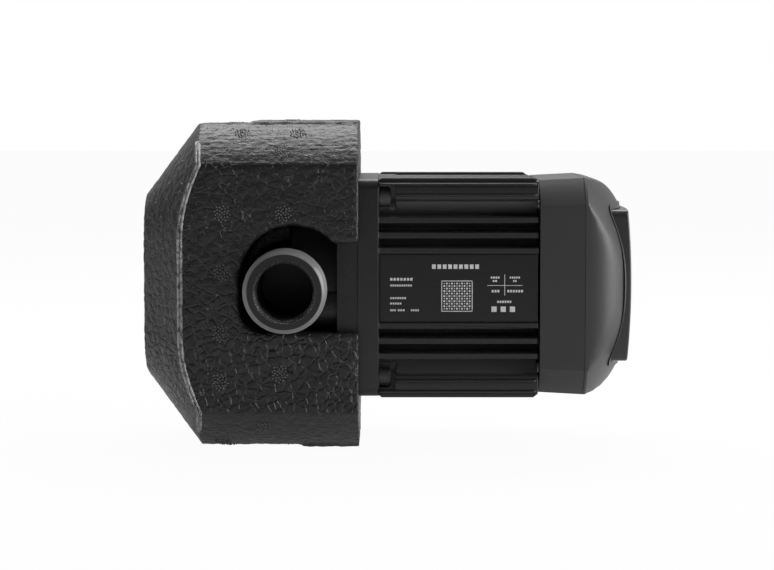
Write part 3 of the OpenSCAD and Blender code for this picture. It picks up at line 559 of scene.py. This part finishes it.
# Foam shell; its flat sides end at this height
flat_half_z = 49.5 * MM
bead_pitch = 3.9 * MM
bead_relief = 0.3 * MM
bead_seed = 11
foam_voxel = 1.15 * MM


def nearest_two(points, pitch, seed):
    """Distances from each point to its two nearest seeds of a jittered lattice.

    Seed of cell c is (c + jitter(c)) pitch, with jitter from a fixed table; the 27 cells
    round each point are tried in turn.
    """
    table = np.random.default_rng(seed).random((32, 32, 32, 3))
    cell = np.floor(points / pitch).astype(int)
    first = np.full(len(points), 1e9)
    second = first.copy()
    for i, j, k in np.ndindex(3, 3, 3):
        c = cell + np.array([i - 1, j - 1, k - 1])
        seeds = (c + table[c[:, 0] % 32, c[:, 1] % 32, c[:, 2] % 32]) * pitch
        d = np.linalg.norm(points - seeds, axis=1)
        second = np.minimum(second, np.maximum(first, d))
        first = np.minimum(first, d)
    return first, second


def foam_shell(material):
    """The shell with softened corners and every bead standing a little proud of its seams.

    Each point moves along its normal by relief (s - 1/2), where s rises from 0 in a seam to
    1 inside a bead, s = 1 - exp(-(d2 - d1) / (pitch / 5)).
    """
    obj = cad_copy(["insulation_shell"], "foam_shell")
    remesh = obj.modifiers.new("voxels", "REMESH")
    remesh.mode = "VOXEL"
    remesh.voxel_size = foam_voxel
    shown = obj.evaluated_get(bpy.context.evaluated_depsgraph_get())
    mesh = bpy.data.meshes.new_from_object(shown)
    bpy.data.objects.remove(obj)
    points = points_of(mesh).astype(float)
    first, second = nearest_two(points, bead_pitch, bead_seed)
    inside = 1 - np.exp(-(second - first) / (bead_pitch / 5))
    points += points_of(mesh, "normal") * (bead_relief * (inside - 0.5))[:, None]
    mesh.polygons.foreach_set("use_smooth", np.ones(len(mesh.polygons), bool))
    move_points(mesh, points)
    obj = link("foam_shell", mesh)
    return finish_piece(obj, material, "shell", "shell_foam", "insulation_shell")


shell_half_y = shell_high.y
shell_corner_r = 70.5 * MM
seam_reach = 59.0 * MM
bevel_inner_y = 10.7 * MM
bevel_inner_z = 19.6 * MM
bevel_back_r = 17.0 * MM
# Growth of the bevel's outline for each millimetre along X
bevel_rate = 29.4 / 22.0
pad_step = 1.1 * MM


def bevel_line(z):
    """Places (x, y) where the shell's back bevel leaves its side, at heights z.

    The side is flat up to the round corner: y = min(half_y, sqrt(R^2 - z^2)). The bevel's
    outline grows at one rate from the flat back, with round corners:
    x = back + (hypot(y - inner_y, max(|z| - inner_z, 0)) - r) / rate.
    """
    y = np.minimum(shell_half_y, np.sqrt(shell_corner_r ** 2 - z ** 2))
    corner = np.maximum(np.abs(z) - bevel_inner_z, 0)
    spread = np.hypot(y - bevel_inner_y, corner) - bevel_back_r
    return shell_low.x + spread / bevel_rate, y


def shell_seam(material):
    """Two thin lips of flash beside each other along the bevel line, on both sides.

    The lips' section is v = h |sin(pi u)| (1 - u^8) for u from -1 to 1, and it stands along
    the normal of the shell's side, leaning back towards the bevel.
    """
    half_w = 1.12 * MM
    height = 0.5 * MM
    lift = 0.05 * MM
    root = 0.8 * MM
    sunk = 0.1 * MM
    lean = -0.25
    fade_length = 6 * MM
    u = np.linspace(-1, 1, 17)
    v = height * np.abs(np.sin(pi * u)) * (1 - u ** 8) + lift
    outline = [*zip(half_w * u, v), (half_w, -root), (-half_w, -root)]
    z = np.linspace(-seam_reach, seam_reach, 161)
    fade = np.clip((seam_reach - np.abs(z)) / fade_length, 0.05, 1)[:, None]
    x, y = bevel_line(z)
    on_corner = np.abs(z) > sqrt(shell_corner_r ** 2 - shell_half_y ** 2)
    out_z = np.where(on_corner, z / shell_corner_r, 0)
    out_y = np.sqrt(1 - out_z ** 2)
    grids = []
    for side in (-1, 1):
        path = np.stack([x - sunk, side * (y - sunk), z], axis=1)
        up = np.stack([np.full_like(z, lean), side * out_y, out_z], axis=1) * fade
        grids.append((swept(path, np.array([1, 0, 0]), up, outline), True))
    obj = grid_mesh("shell_seam", grids, radians(60))
    return finish_piece(obj, material, "shell", "shell_foam")


# Where the raised pads under (-1) and on top (1) of the shell start, in millimetres
pad_starts = {-1: 6.0, 1: -15.0}
# Steam vents of the shell, as (x, z) on the side flats in millimetres
side_vents = [
    (-25.5, 30.4), (-1.1, 30.2), (-25.5, 6.8), (-26.3, -17.6), (-26.7, -37.2), (-2.7, -34.0)]
top_vents = [(-18.0, 0.0), (0.0, -20.0), (0.0, 20.0), (20.0, 0.0), (-24.0, -22.0), (-24.0, 22.0)]
back_vents = [(0.0, 18.0), (0.0, -18.0), (-14.0, 0.0), (14.0, 0.0)]
# Vents of the round corners, as (x, degrees up from the side)
corner_vents = [(-18.1, 62.0), (4.3, 62.0), (-1.4, 51.5), (-9.6, -53.0), (-27.0, -66.0)]
vent_r = 3.5 * MM
pip_r = 0.33 * MM
pip_h = 0.34 * MM


def pip_places():
    """Places of one vent's pips: a sunflower pattern r = R sqrt(k / n), a = k golden angle."""
    count = 27
    k = np.arange(count) + 0.5
    r = vent_r * np.sqrt(k / count)
    a = k * pi * (3 - sqrt(5))
    return np.stack([r * np.cos(a), r * np.sin(a)], axis=1)


def pip_shape():
    """A low dome of radius pip_r and height pip_h: three rings of eight points and a pole."""
    rings = np.array([(1.0, -0.6), (1.0, 0.3), (0.62, 0.85), (0.0, 1.0)])
    a = np.linspace(0, 2 * pi, 8, endpoint=False)
    r, h = rings.T
    return np.stack([
        pip_r * r[:, None] * np.cos(a), pip_r * r[:, None] * np.sin(a),
        np.broadcast_to(pip_h * h[:, None], (len(r), 8))], axis=-1)


def shell_vents(material):
    """Every vent's pips, set on the side, top, back and corner faces of the shell.

    A spot is its place and its frame: two directions on the face and the way out.
    """
    spots = []
    face_z = shell_high.z - pad_step
    for side in (-1, 1):
        for x, z in side_vents:
            spot = (x * MM, side * shell_half_y, z * MM)
            spots.append((spot, (1, 0, 0), (0, 0, 1), (0, side, 0)))
        for x, degrees_up in corner_vents:
            t = radians(degrees_up)
            out = (0, side * cos(t), sin(t))
            north = (0, -side * sin(t), cos(t))
            spot = (x * MM, out[1] * shell_corner_r, out[2] * shell_corner_r)
            spots.append((spot, (1, 0, 0), north, out))
        for x, y in top_vents:
            pad = pad_step if x > pad_starts[side] else 0
            spot = (x * MM, y * MM, side * (face_z + pad))
            spots.append((spot, (1, 0, 0), (0, 1, 0), (0, 0, side)))
    for y, z in back_vents:
        spots.append(((shell_low.x, y * MM, z * MM), (0, 1, 0), (0, 0, 1), (-1, 0, 0)))
    shape = pip_shape()
    grids = []
    for spot, east, north, out in spots:
        base = np.array([east, north, out], float)
        for u, v in pip_places():
            centre = np.array(spot) + base[0] * u + base[1] * v
            grids.append((centre + shape @ base, True))
    obj = grid_mesh("shell_vents", grids, radians(80))
    return finish_piece(obj, material, "shell", "shell_foam")


# Pump casing and its threads
inch = 25.4 * MM
thread_pitch = inch / 11
thread_major = 16.625 * MM
thread_minor = 15.145 * MM
thread_root = 48.0 * MM
thread_end = 63.0 * MM
port_bore_r = 10.4 * MM
port_mouth_r = 11.3 * MM
bevel_inner_r = 14.9 * MM
thread_base_r = 13.9 * MM
port_face = 64.99 * MM
# How far a vertex may be from the place that it is sought at
same_place = 0.05 * MM
casing_nodes = ["pump_casing", "port_pipe"]


def cast_casing(material):
    """The casing with its thread blanks turned down under the thread and its mouths widened."""
    obj = cad_copy(casing_nodes, "cast_casing", radians(32))
    points = points_of(obj.data)
    radius = np.hypot(points[:, 0], points[:, 2])
    far = np.abs(points[:, 1])
    for old_r, new_r, start in [
            (thread_major, thread_minor - 0.1 * MM, thread_root),
            (port_bore_r, port_mouth_r, thread_end)]:
        ring = (np.abs(radius - old_r) < same_place) & (far > start - same_place)
        points[ring] *= (new_r / old_r, 1, new_r / old_r)
    move_points(obj.data, points)
    round_edges(obj, 0.45 * MM, 2, radians(48))
    return finish_piece(obj, material, "pump", "casing_iron", *casing_nodes)


def port_threads(material):
    """A right-hand parallel pipe thread round each port.

    Radius is minor + depth w(u) with u = (y - start) / pitch - a / 2 pi and w a triangle
    wave with flats on crests and roots; the thread fades out over its last half turn and
    along the end bevel.
    """
    columns = 160
    flat = 0.11
    a = np.linspace(0, 2 * pi, columns, endpoint=False)
    y = np.linspace(thread_root + 0.1 * MM, port_face, 118)[:, None]
    depth = thread_major - thread_minor
    u = (y - thread_root) / thread_pitch - a / (2 * pi)
    wave = np.abs(u - np.round(u)) * 2
    wave = np.clip((1 + 2 * flat) * (1 - wave) - flat, 0, 1)
    fade = np.clip((y - thread_root) / (0.5 * thread_pitch), 0, 1)
    r = thread_minor + depth * wave * fade
    bevel = thread_major - np.clip(y - thread_end, 0, None)
    r = np.minimum(r, bevel)
    base = np.full((1, columns), thread_base_r)
    radii = np.concatenate([base, r, base, base])
    along = np.concatenate([y[:1], y, y[-1:] - 0.3 * MM, y[:1]]) * np.ones(columns)
    grids = []
    for side in (-1, 1):
        grid = np.stack([radii * np.cos(a), side * along, side * radii * np.sin(a)], axis=-1)
        grids.append((grid, True))
    obj = grid_mesh("port_threads", grids, radians(70))
    return finish_piece(obj, material, "pump", "casing_iron")


# Motor
rib_end_round = 1.15 * MM
rib_edge = 0.38 * MM
screw_head_r = 4.25 * MM
screw_half = screws_high.y - screw_head_r
screw_seat_x = screws_high.x - 5.0 * MM
notch_half = 4.9 * MM
notch_end_x = screws_high.x + 1.6 * MM
# Ribs reach out past this depth, and their ends lie within a skin of the outer faces
rib_reach = 12 * MM
rib_depth = 8 * MM
rib_skin = 1.2 * MM
least_rib_edge = 2.5 * MM
same_level = 0.01 * MM


def open_notches(obj):
    """Opens the pockets of the screw heads to both sides of the housing, with a box each."""
    reach = housing_high.y + 2 * MM - screw_half
    start = screw_seat_x + 0.02 * MM
    boxes = [bar(start, notch_end_x, z - notch_half, z + notch_half, y, reach)
             for y in (screw_half, -screw_half - reach) for z in (-screw_half, screw_half)]
    cutter = grid_mesh("notches", boxes)
    cut = obj.modifiers.new("notches", "BOOLEAN")
    cut.operation = "DIFFERENCE"
    cut.solver = "EXACT"
    cut.object = cutter
    shown = obj.evaluated_get(bpy.context.evaluated_depsgraph_get())
    mesh = bpy.data.meshes.new_from_object(shown)
    obj.modifiers.remove(cut)
    obj.data = mesh
    bpy.data.objects.remove(cutter)


def is_rib_end(edge):
    """Whether an edge runs in from the tip of a rib, at the rib's end by the box."""
    p, q = (v.co for v in edge.verts)
    reach = housing_high.z - rib_reach
    depths = [max(abs(c.y), abs(c.z)) for c in (p, q)]
    if min(p.x, q.x) < housing_high.x - same_level or (q - p).length < least_rib_edge:
        return False
    if max(depths) < reach or min(depths) >= reach + rib_depth:
        return False
    on_side = abs(q.z - p.z) < same_level and max(abs(p.y), abs(q.y)) > housing_high.y - rib_skin
    on_top = abs(q.y - p.y) < same_level and max(abs(p.z), abs(q.z)) > housing_high.z - rib_skin
    return on_side or on_top


def ribbed_housing(material):
    """The housing with open screw pockets, round rib ends at the box and softened edges."""
    obj = cad_copy(["motor_housing"], "ribbed_housing", radians(30))
    open_notches(obj)
    round_chosen(obj, is_rib_end, rib_end_round, 4, radians(30))
    round_edges(obj, rib_edge, 2, radians(42), clamp=False)
    return finish_piece(obj, material, "pump", "housing_metal", "motor_housing")


column_face = housing_high.z - 0.5 * MM
ridge_half_w = 0.6 * MM
ridge_h = 0.9 * MM
ridge_root = 0.5 * MM
ridge_end_x = housing_high.x - 0.8 * MM
# Ridges of the columns, as (distance from the middle of the face, start along X)
ridge_rows = [
    (side * (housing_high.z - inset), start) for side in (-1, 1) for inset, start in [
        (2.2 * MM, screw_seat_x + 0.2 * MM), (6.5 * MM, notch_end_x + 0.6 * MM)]]


def column_ridges(material):
    """Two thin cast ridges along each outer face of the four corner columns.

    A ridge is half round, v = h sqrt(1 - u^2), and its height fades over its last millimetre.
    """
    u = np.linspace(-1, 1, 9)
    outline = [(ridge_half_w * k, ridge_h * sqrt(1 - k * k)) for k in u]
    outline += [(ridge_half_w, -ridge_root), (-ridge_half_w, -ridge_root)]
    grids = []
    for face in range(4):
        out = np.array([0, cos(face * pi / 2), sin(face * pi / 2)])
        along = np.array([0, -out[2], out[1]])
        for place, start in ridge_rows:
            x = np.linspace(start, ridge_end_x, 60)[:, None]
            fade = np.sqrt(np.clip(np.minimum(x - start, ridge_end_x - x) / MM, 0.02, 1))
            path = x * np.array([1, 0, 0]) + column_face * out + place * along
            grids.append((swept(path, along, out * fade, outline), True))
    obj = grid_mesh("column_ridges", grids, radians(50))
    return finish_piece(obj, material, "pump", "housing_metal")


screw_shank_r = 2.5 * MM
screw_key_r = 2.0 * MM
screw_key_depth = 2.5 * MM
knurl_depth = 0.16 * MM


def socket_screws(material):
    """Four socket screws: shank, knurled head with a crowned edge, and a six-sided key hole.

    The head's radius is R - k |sin(n a / 2)|, which gives n upright knurls.
    """
    knurls = 36
    columns = knurls * 6
    a = np.linspace(0, 2 * pi, columns, endpoint=False)
    wave = np.abs(np.sin(knurls * a / 2))
    key_r = screw_key_r / np.cos((a + pi / 6) % (pi / 3) - pi / 6)
    tip, seat, top = screws_low.x, screw_seat_x, screws_high.x
    shank, head = screw_shank_r, screw_head_r
    # Rows from the tip to the top: place along X, radius, and 1 where the head is knurled
    rows = [
        (tip, 0.0, 0), (tip, shank - 0.4 * MM, 0), (tip + 0.4 * MM, shank, 0), (seat, shank, 0),
        (seat, head - 0.25 * MM, 0), (seat + 0.25 * MM, head - 0.05 * MM, 0),
        (seat + 0.55 * MM, head, 1), (top - 1.0 * MM, head, 1),
        (top - 0.7 * MM, head - 0.05 * MM, 0), (top - 0.2 * MM, head - 0.2 * MM, 0),
        (top, head - 0.5 * MM, 0)]
    rings = [(x, r - knurl_depth * wave * k) for x, r, k in rows]
    rings += [(top, key_r + 0.3 * MM), (top - 0.3 * MM, key_r), (top - screw_key_depth, key_r)]
    rings += [(top - screw_key_depth - 0.4 * MM, 0 * a)]
    grids = []
    for y in (-screw_half, screw_half):
        for z in (-screw_half, screw_half):
            grid = np.stack([
                np.stack([np.full(columns, x), y + r * np.cos(a), z + r * np.sin(a)], axis=-1)
                for x, r in rings])
            grids.append((grid, True))
    obj = grid_mesh("socket_screws", grids, radians(38))
    return finish_piece(obj, material, "pump", "screw_steel", "flange_screws")


# Marks of the name plate in millimetres: start, end, height of the middle, thickness
plate_heading = (20.9, 40.5, 8.7, 1.8)
plate_rows = [
    (4.1, 13.5, 3.6, 1.1), (4.1, 13.1, 1.1, 0.8), (4.1, 10.7, -4.0, 0.8), (4.1, 8.9, -6.2, 0.8),
    (4.1, 6.6, -8.9, 0.8), (7.2, 10.2, -8.9, 0.8), (12.4, 15.9, -8.9, 0.8),
    (44.6, 48.4, 4.3, 0.8), (45.4, 47.4, 2.9, 0.8), (52.2, 56.6, 4.3, 0.8), (53.6, 55.2, 2.9, 0.8),
    (45.0, 48.4, -1.2, 1.0), (51.3, 57.9, -1.2, 1.0), (47.2, 53.2, -5.5, 0.9)]
plate_bars = [
    (43.2, 57.4, 1.1, 0.22), (50.1, 50.35, 1.3, 8.4),
    (44.9, 47.0, -8.5, 2.2), (48.6, 50.7, -8.5, 2.2), (52.3, 54.4, -8.5, 2.2)]
plate_square = (24.7, -9.5, 12.6, 0.34)
square_dots = 11


def plate_print(material):
    """Generic marks of the name plate: rows of plain blocks, a ruled cross and a dotted square.

    A row from a to b holds n = (b - a) / pitch blocks, each 0.7 pitch wide, and the dots
    of the square are large and small by turns.
    """
    ink = 0.03 * MM
    bars = list(plate_bars)
    for start, end, z, height in [plate_heading, *plate_rows]:
        count = max(round((end - start) / (1.15 * height)), 1)
        pitch = (end - start) / count
        bars += [(start + k * pitch, start + (k + 0.7) * pitch, z, height) for k in range(count)]
    left, low, side, rule = plate_square
    bars += [(left, left + side, low + z, rule) for z in (rule / 2, side - rule / 2)]
    bars += [(left + x, left + x + rule, low + side / 2, side) for x in (0, side - rule)]
    pitch = (side - 4 * rule) / square_dots
    for i, j in np.ndindex(square_dots, square_dots):
        dot = pitch * (0.7 if (i + j) % 2 else 0.4)
        x = left + 2 * rule + (i + 0.5) * pitch
        bars.append((x - dot / 2, x + dot / 2, low + 2 * rule + (j + 0.5) * pitch, dot))
    marks = [bar(
        plate_low.x + start * MM, plate_low.x + end * MM, (z - height / 2) * MM,
        (z + height / 2) * MM, plate_low.y - ink, 2 * ink) for start, end, z, height in bars]
    obj = grid_mesh("plate_print", marks, radians(30))
    return finish_piece(obj, material, "pump", "plate_foil")


def data_plate(material):
    """The name plate with a soft edge."""
    obj = cad_copy(["name_plate"], "data_plate")
    round_edges(obj, 0.16 * MM, 2)
    return finish_piece(obj, material, "pump", "plate_foil", "name_plate")


# Control box
box_half = base_high.z
box_corner_r = 55.4 * MM
box_back_draw = 0.9 * MM
box_back_edge = 1.5 * MM
shoulder_r = 20.0 * MM
shoulder_x = 119.8 * MM
dome_r = 76.0 * MM
dome_centre_x = 69.3 * MM
panel_half = panel_high.z
opening_half = panel_half + 0.3 * MM
opening_corner_r = 3.2 * MM
cover_wall = 2.2 * MM
panel_corner_r = 3.0 * MM
panel_rim = 1.5 * MM
panel_depth = 6.0 * MM
crease_soft = 0.9 * MM
# Edge of the cover above the base: gap along X, and size as a share of the box outline
seam_shares = [(0.12 * MM, 0.998), (0.25 * MM, 1.0008)]
lip_share = 0.9985
lip_depth = 0.35 * MM


def section(inset):
    """The box outline drawn in by an inset: flats at half - inset, joined by arcs about the axis.

    Each row of points keeps its place along flat or arc, so the creases run as one line.
    """
    half = box_half - inset
    r = box_corner_r - inset
    meet = np.arccos(np.clip(half / r, -1, 1))
    flat = np.linspace(-1, 1, 13)[:-1]
    curve = np.linspace(0, 1, 9)[:-1]
    points = []
    for side in range(4):
        c, s = cos(side * pi / 2), sin(side * pi / 2)
        tangent = flat * np.tan(meet) * half
        a = meet + curve * (pi / 2 - 2 * meet)
        u = np.concatenate([np.full(len(flat), half), r * np.cos(a)])
        v = np.concatenate([tangent, r * np.sin(a)])
        points.append(np.stack([u * c - v * s, u * s + v * c], axis=1))
    return np.concatenate(points)


def opening_outline(outline):
    """The outline's points moved along their rays onto the rounded square of the panel."""
    a = np.arctan2(outline[:, 1], outline[:, 0])
    b = np.abs((a + pi / 4) % (pi / 2) - pi / 4)
    inner = opening_half - opening_corner_r
    flat = opening_half / np.cos(b)
    # On the corner: |ray r - (inner, inner)| = corner radius
    mid = inner * (np.cos(b) + np.sin(b))
    root = mid + np.sqrt(np.maximum(mid ** 2 - 2 * inner ** 2 + opening_corner_r ** 2, 0))
    r = np.where(opening_half * np.tan(b) < inner, flat, root)
    return np.stack([r * np.cos(a), r * np.sin(a)], axis=1)


def front_place(yz, inset):
    """Place along X of the domed front: the lower of shoulder and dome, with a soft join.

    shoulder = s + sqrt(R^2 - (R - inset)^2), dome = c + sqrt(D^2 - y^2 - z^2), and the soft
    lower value of p and q is (p + q - sqrt((p - q)^2 + k^2)) / 2.
    """
    rise = shoulder_r - np.minimum(inset, shoulder_r)
    shoulder = shoulder_x + np.sqrt(shoulder_r ** 2 - rise ** 2)
    dome = dome_centre_x + np.sqrt(dome_r ** 2 - (yz ** 2).sum(axis=1))
    soft = crease_soft * min(1.0, inset / MM)
    return (shoulder + dome - np.sqrt((shoulder - dome) ** 2 + soft ** 2)) / 2


def domed_cover(material):
    """The front of the control box as rings drawn in from its edge to the panel's opening.

    Insets are last (1 - cos t), and a ring passes from the box outline to the opening's by
    the share (inset / last)^3. Two rings below them make the edge at the seam.
    """
    last = box_half - opening_half
    insets = last * (1 - np.cos(np.linspace(0, pi / 2, 26)))
    edge = section(0.0)
    rings = [np.column_stack([np.full(len(edge), base_high.x + gap), edge * share])
             for gap, share in seam_shares]
    for inset in insets[2:]:
        yz = section(inset)
        share = (inset / last) ** 3
        yz = yz * (1 - share) + opening_outline(yz) * share
        rings.append(np.column_stack([front_place(yz, inset), yz]))
    lip = rings[-1] * (1, lip_share, lip_share) - (lip_depth, 0, 0)
    rings.append(lip)
    obj = grid_mesh("domed_cover", [(np.stack(rings), True)], radians(32))
    wall = obj.modifiers.new("wall", "SOLIDIFY")
    wall.thickness = cover_wall
    wall.offset = -1
    return finish_piece(obj, material, "pump", "box_plastic", "box_cover")


def box_skirt(material):
    """The base of the control box, drawn in a little towards the motor as a mould needs."""
    obj = cad_copy(["box_base"], "box_skirt", radians(30))
    points = points_of(obj.data)
    on_flat = np.abs(points[:, 1:]).max(axis=1) > box_half - 2 * same_place
    on_corner = np.hypot(points[:, 1], points[:, 2]) > box_corner_r - 2 * same_place
    back = (on_flat | on_corner) & (points[:, 0] < base_low.x + box_back_edge)
    points[back, 1:] *= 1 - box_back_draw / box_half
    move_points(obj.data, points)
    round_edges(obj, 0.5 * MM, 3, radians(38))
    return finish_piece(obj, material, "pump", "box_plastic", "box_base")


def is_panel_rim(edge):
    """Whether an edge is a sharp one between the panel's face and its sides."""
    sides = [max(abs(v.co.y), abs(v.co.z)) > panel_half - panel_corner_r for v in edge.verts]
    front = [v.co.x > panel_low.x + panel_depth for v in edge.verts]
    return all(sides) and all(front) and edge.calc_face_angle(0) > radians(50)


def front_panel(material):
    """The raised panel with a rounded rim, and softened edges at its button and lenses."""
    obj = cad_copy(["front_panel"], "panel_face", radians(20))
    round_chosen(obj, is_panel_rim, panel_rim, 5, radians(25))
    round_edges(obj, 0.25 * MM, 2, radians(50))
    return finish_piece(obj, material, "pump", "panel_plastic", "front_panel")


def push_button(material):
    """A turned cap with a dished face: x = edge - dish (1 - (r / R)^2) inside a round rim."""
    r = 7.0 * MM
    flange_r = button_high.y
    flange_t = 1.2 * MM
    rim = 0.8 * MM
    rim_w = 1.3 * MM
    dish = 0.9 * MM
    dish_edge = 0.25 * MM
    low, top = button_low.x, button_high.x
    z = (button_low.z + button_high.z) / 2
    profile = [(low, 0.0), (low, flange_r), (low + flange_t, flange_r), (low + flange_t, r)]
    profile += arc((top - rim, r - rim), rim, 90, 20, 7)
    shares = np.linspace(1, 0, 12)
    profile += [(top - dish_edge - dish * (1 - k * k), (r - rim_w) * k) for k in shares]
    obj = grid_mesh("push_button", [(turned_about_x(profile, 0.0, z), True)], radians(32))
    return finish_piece(obj, material, "button", "button_plastic", "button_cap")


def lens_domes(material):
    """Three light guides whose round heads stand a hair out of the bowed panel.

    The panel's face falls back by y^2 / 2R at a distance y from its middle.
    """
    r = 1.6 * MM
    head = 0.4 * MM
    panel_bow_r = 320 * MM
    z = (lenses_low.z + lenses_high.z) / 2
    grids = []
    for y in (lenses_low.y + r, (lenses_low.y + lenses_high.y) / 2, lenses_high.y - r):
        face = lenses_high.x - y * y / (2 * panel_bow_r)
        profile = [(lenses_low.x, 0.0), (lenses_low.x, r), (face, r)]
        profile += [(face + head * sin(t), r * cos(t)) for t in np.linspace(0.15, pi / 2, 8)]
        grids.append((turned_about_x(profile, y, z, 40), True))
    obj = grid_mesh("lens_domes", grids, radians(50))
    return finish_piece(obj, material, "pump", "lens_green", "indicator_lenses")


def inlet_socket(material):
    """The socket of the supply lead with softened edges."""
    obj = cad_copy(["power_inlet"], "inlet_socket")
    round_edges(obj, 0.4 * MM, 2)
    return finish_piece(obj, material, "pump", "part_black", "power_inlet")


def paint_node(name, material):
    """Gives a CAD node its material."""
    obj = nodes[name]
    if not obj.material_slots:
        obj.data.materials.append(material)
    for slot in obj.material_slots:
        slot.material = material


def build_pieces():
    """Every new piece on its body, and every other node in its material."""
    foam = bead_foam()
    iron = painted_iron()
    paint = black_paint()
    box_stuff = grained_plastic("box_plastic", 0.036, 0.045, 0.38)
    panel_stuff = grained_plastic("panel_plastic", 0.030, 0.038, 0.26, 0.03)
    button_stuff = grained_plastic("button_plastic", 0.030, 0.036, 0.40, 0.02)
    black_stuff = grained_plastic("black_plastic", 0.010, 0.014, 0.45)
    foil_stuff = foil()
    bright = steel("bright_steel", 0.45, 0.62, 0.22, (1, 0.1, 0.1))
    screw_stuff = steel("screw_steel", 0.060, 0.120, 0.32, (0.2, 1, 1), 0.6, 0.55)
    plain_steel = steel("plain_steel", 0.40, 0.55, 0.30)
    alloy = steel("alloy", 0.50, 0.66, 0.34, (1, 0.1, 1), 0.7)
    core = laminations()
    copper = winding()
    board = circuit_board()
    rubber = smooth_stuff("rubber", 0.010, 0.016, 0.62)
    ceramic = smooth_stuff("ceramic", (0.66, 0.63, 0.55), (0.74, 0.71, 0.64), 0.22, 0.8, 0.01)
    magnet = smooth_stuff("magnet", 0.06, 0.09, 0.5, 0.5, 0.04, Metallic=0.5)
    bobbin = smooth_stuff("bobbin", (0.62, 0.57, 0.43), (0.70, 0.65, 0.52), 0.5)
    moulding = smooth_stuff("moulding", (0.60, 0.56, 0.46), (0.68, 0.65, 0.56), 0.42)
    jacket = smooth_stuff("jacket", (0.20, 0.03, 0.03), (0.26, 0.05, 0.05), 0.45)
    can_skin = smooth_stuff("can_skin", (0.02, 0.05, 0.11), (0.03, 0.07, 0.14), 0.3)
    pad = smooth_stuff("pad", (0.28, 0.37, 0.46), (0.34, 0.43, 0.52), 0.7, 0.6, 0.05)
    brass = steel("brass", 0.5, 0.6, 0.25)
    off_white = smooth_stuff("off_white", 0.52, 0.6, 0.4)

    foam_shell(foam)
    shell_seam(seam_foam())
    shell_vents(vent_foam())
    cast_casing(iron)
    port_threads(iron)
    ribbed_housing(paint)
    column_ridges(paint)
    socket_screws(screw_stuff)
    data_plate(foil_stuff)
    plate_print(print_white())
    box_skirt(box_stuff)
    domed_cover(box_stuff)
    front_panel(panel_stuff)
    push_button(button_stuff)
    lens_domes(lens_stuff())
    inlet_socket(black_stuff)

    for names, material in [
            (("wear_ring", "bearing_plate", "rotor_can", "rotor_sleeve", "rotor_end_rings",
              "impeller_collar", "rear_bearing_carrier"), bright),
            (("base_screws", "board_screws"), plain_steel), (("housing_end_plate",), alloy),
            (("stator_core", "rotor_core"), core), (("stator_coils", "filter_choke"), copper),
            (("control_board", "display_board"), board),
            (("casing_gasket", "can_seal", "lead_grommet", "box_gasket"), rubber),
            (("front_bearing", "rear_bearing", "shaft"), ceramic),
            (("rotor_magnets", "choke_core"), magnet), (("coil_bobbins",), bobbin),
            (("impeller", "impeller_shroud"), moulding), (("motor_leads",), jacket),
            (("capacitor",), can_skin), (("heat_pad",), pad), (("inlet_pins",), brass),
            (("indicator_lights", "button_switch"), off_white),
            (("board_link", "power_module", "thrust_ring", "thrust_ring_holder",
              "switch_plunger"), black_stuff)]:
        for name in names:
            paint_node(name, material)


# Studio
floor_half = 6.0
floor_drop = 0.0003
paper_white = 0.8
camera_white = 0.96
mirror_white = 0.36
mirror_fade = (-0.75, -0.15)


def studio_floor():
    """A pale floor under the shell's lower pad, lifted towards white for the camera.

    In mirrored rays it fades out towards the camera's side, as a table's front edge does.
    """
    z = cad_box[0].z - floor_drop
    ends = (-floor_half, floor_half)
    grid = np.array([[(x, y, z) for x in ends] for y in ends])
    obj = grid_mesh("studio_floor", [(grid, False)])
    f = new_finish("floor_white")
    path = f.node("ShaderNodeLightPath", output="Is Camera Ray")
    glossy = f.node("ShaderNodeLightPath", output="Is Glossy Ray")
    seen = path * camera_white + glossy * mirror_white * f.axis("Y").step(*mirror_fade)
    paper = f.node("ShaderNodeBsdfDiffuse", None, {"Color": colour(paper_white)})
    glow = f.node("ShaderNodeEmission", None, {"Color": colour(1.0), "Strength": 1.0})
    mixed = f.node("ShaderNodeMixShader", None, {0: seen, 1: paper, 2: glow})
    f.node("ShaderNodeOutputMaterial", None, {"Surface": mixed})
    obj.data.materials.append(f.block)


def studio_world():
    """White to the camera; softer on the camera's side than behind and above the object."""
    world = bpy.data.worlds.new("studio")
    bpy.context.scene.world = world
    f = Finish(world, "Generated")
    seen = f.node("ShaderNodeLightPath", output="Is Camera Ray")
    behind = f.axis("Y").step(0.2, 0.8)
    above = f.axis("Z").step(0.5, 0.95)
    level = 0.06 + 0.5 * f.math("MAXIMUM", behind, 0.6 * above)
    strength = seen + level * (1 - seen)
    glow = f.node("ShaderNodeBackground", None, {"Color": colour(1.0), "Strength": strength})
    f.node("ShaderNodeOutputWorld", None, {"Surface": glow})


def soft_light(name, place, aim_at, width, height, power):
    """A rectangular soft light that looks at a point."""
    data = bpy.data.lights.new(name, "AREA")
    data.shape = "RECTANGLE"
    data.size = width
    data.size_y = height
    data.energy = power
    obj = bpy.data.objects.new(name, data)
    obj.location = place
    obj.rotation_euler = (Vector(aim_at) - Vector(place)).to_track_quat("-Z", "Y").to_euler()
    bpy.context.scene.collection.objects.link(obj)


def studio_lights():
    """A long light above and behind, a weak one on the left and a strong one on the right."""
    centre = (0.04, 0.0, 0.0)
    soft_light("top", (0.04, 0.6, 0.9), centre, 1.4, 0.5, 11.0)
    soft_light("left", (-1.15, -0.30, 0.25), centre, 0.4, 1.0, 1.1)
    soft_light("right", (1.15, -0.15, 0.15), centre, 0.8, 1.2, 18.0)


bpy.context.scene.view_settings.view_transform = "Standard"
place_camera()
build_pieces()
studio_floor()
studio_world()
studio_lights()
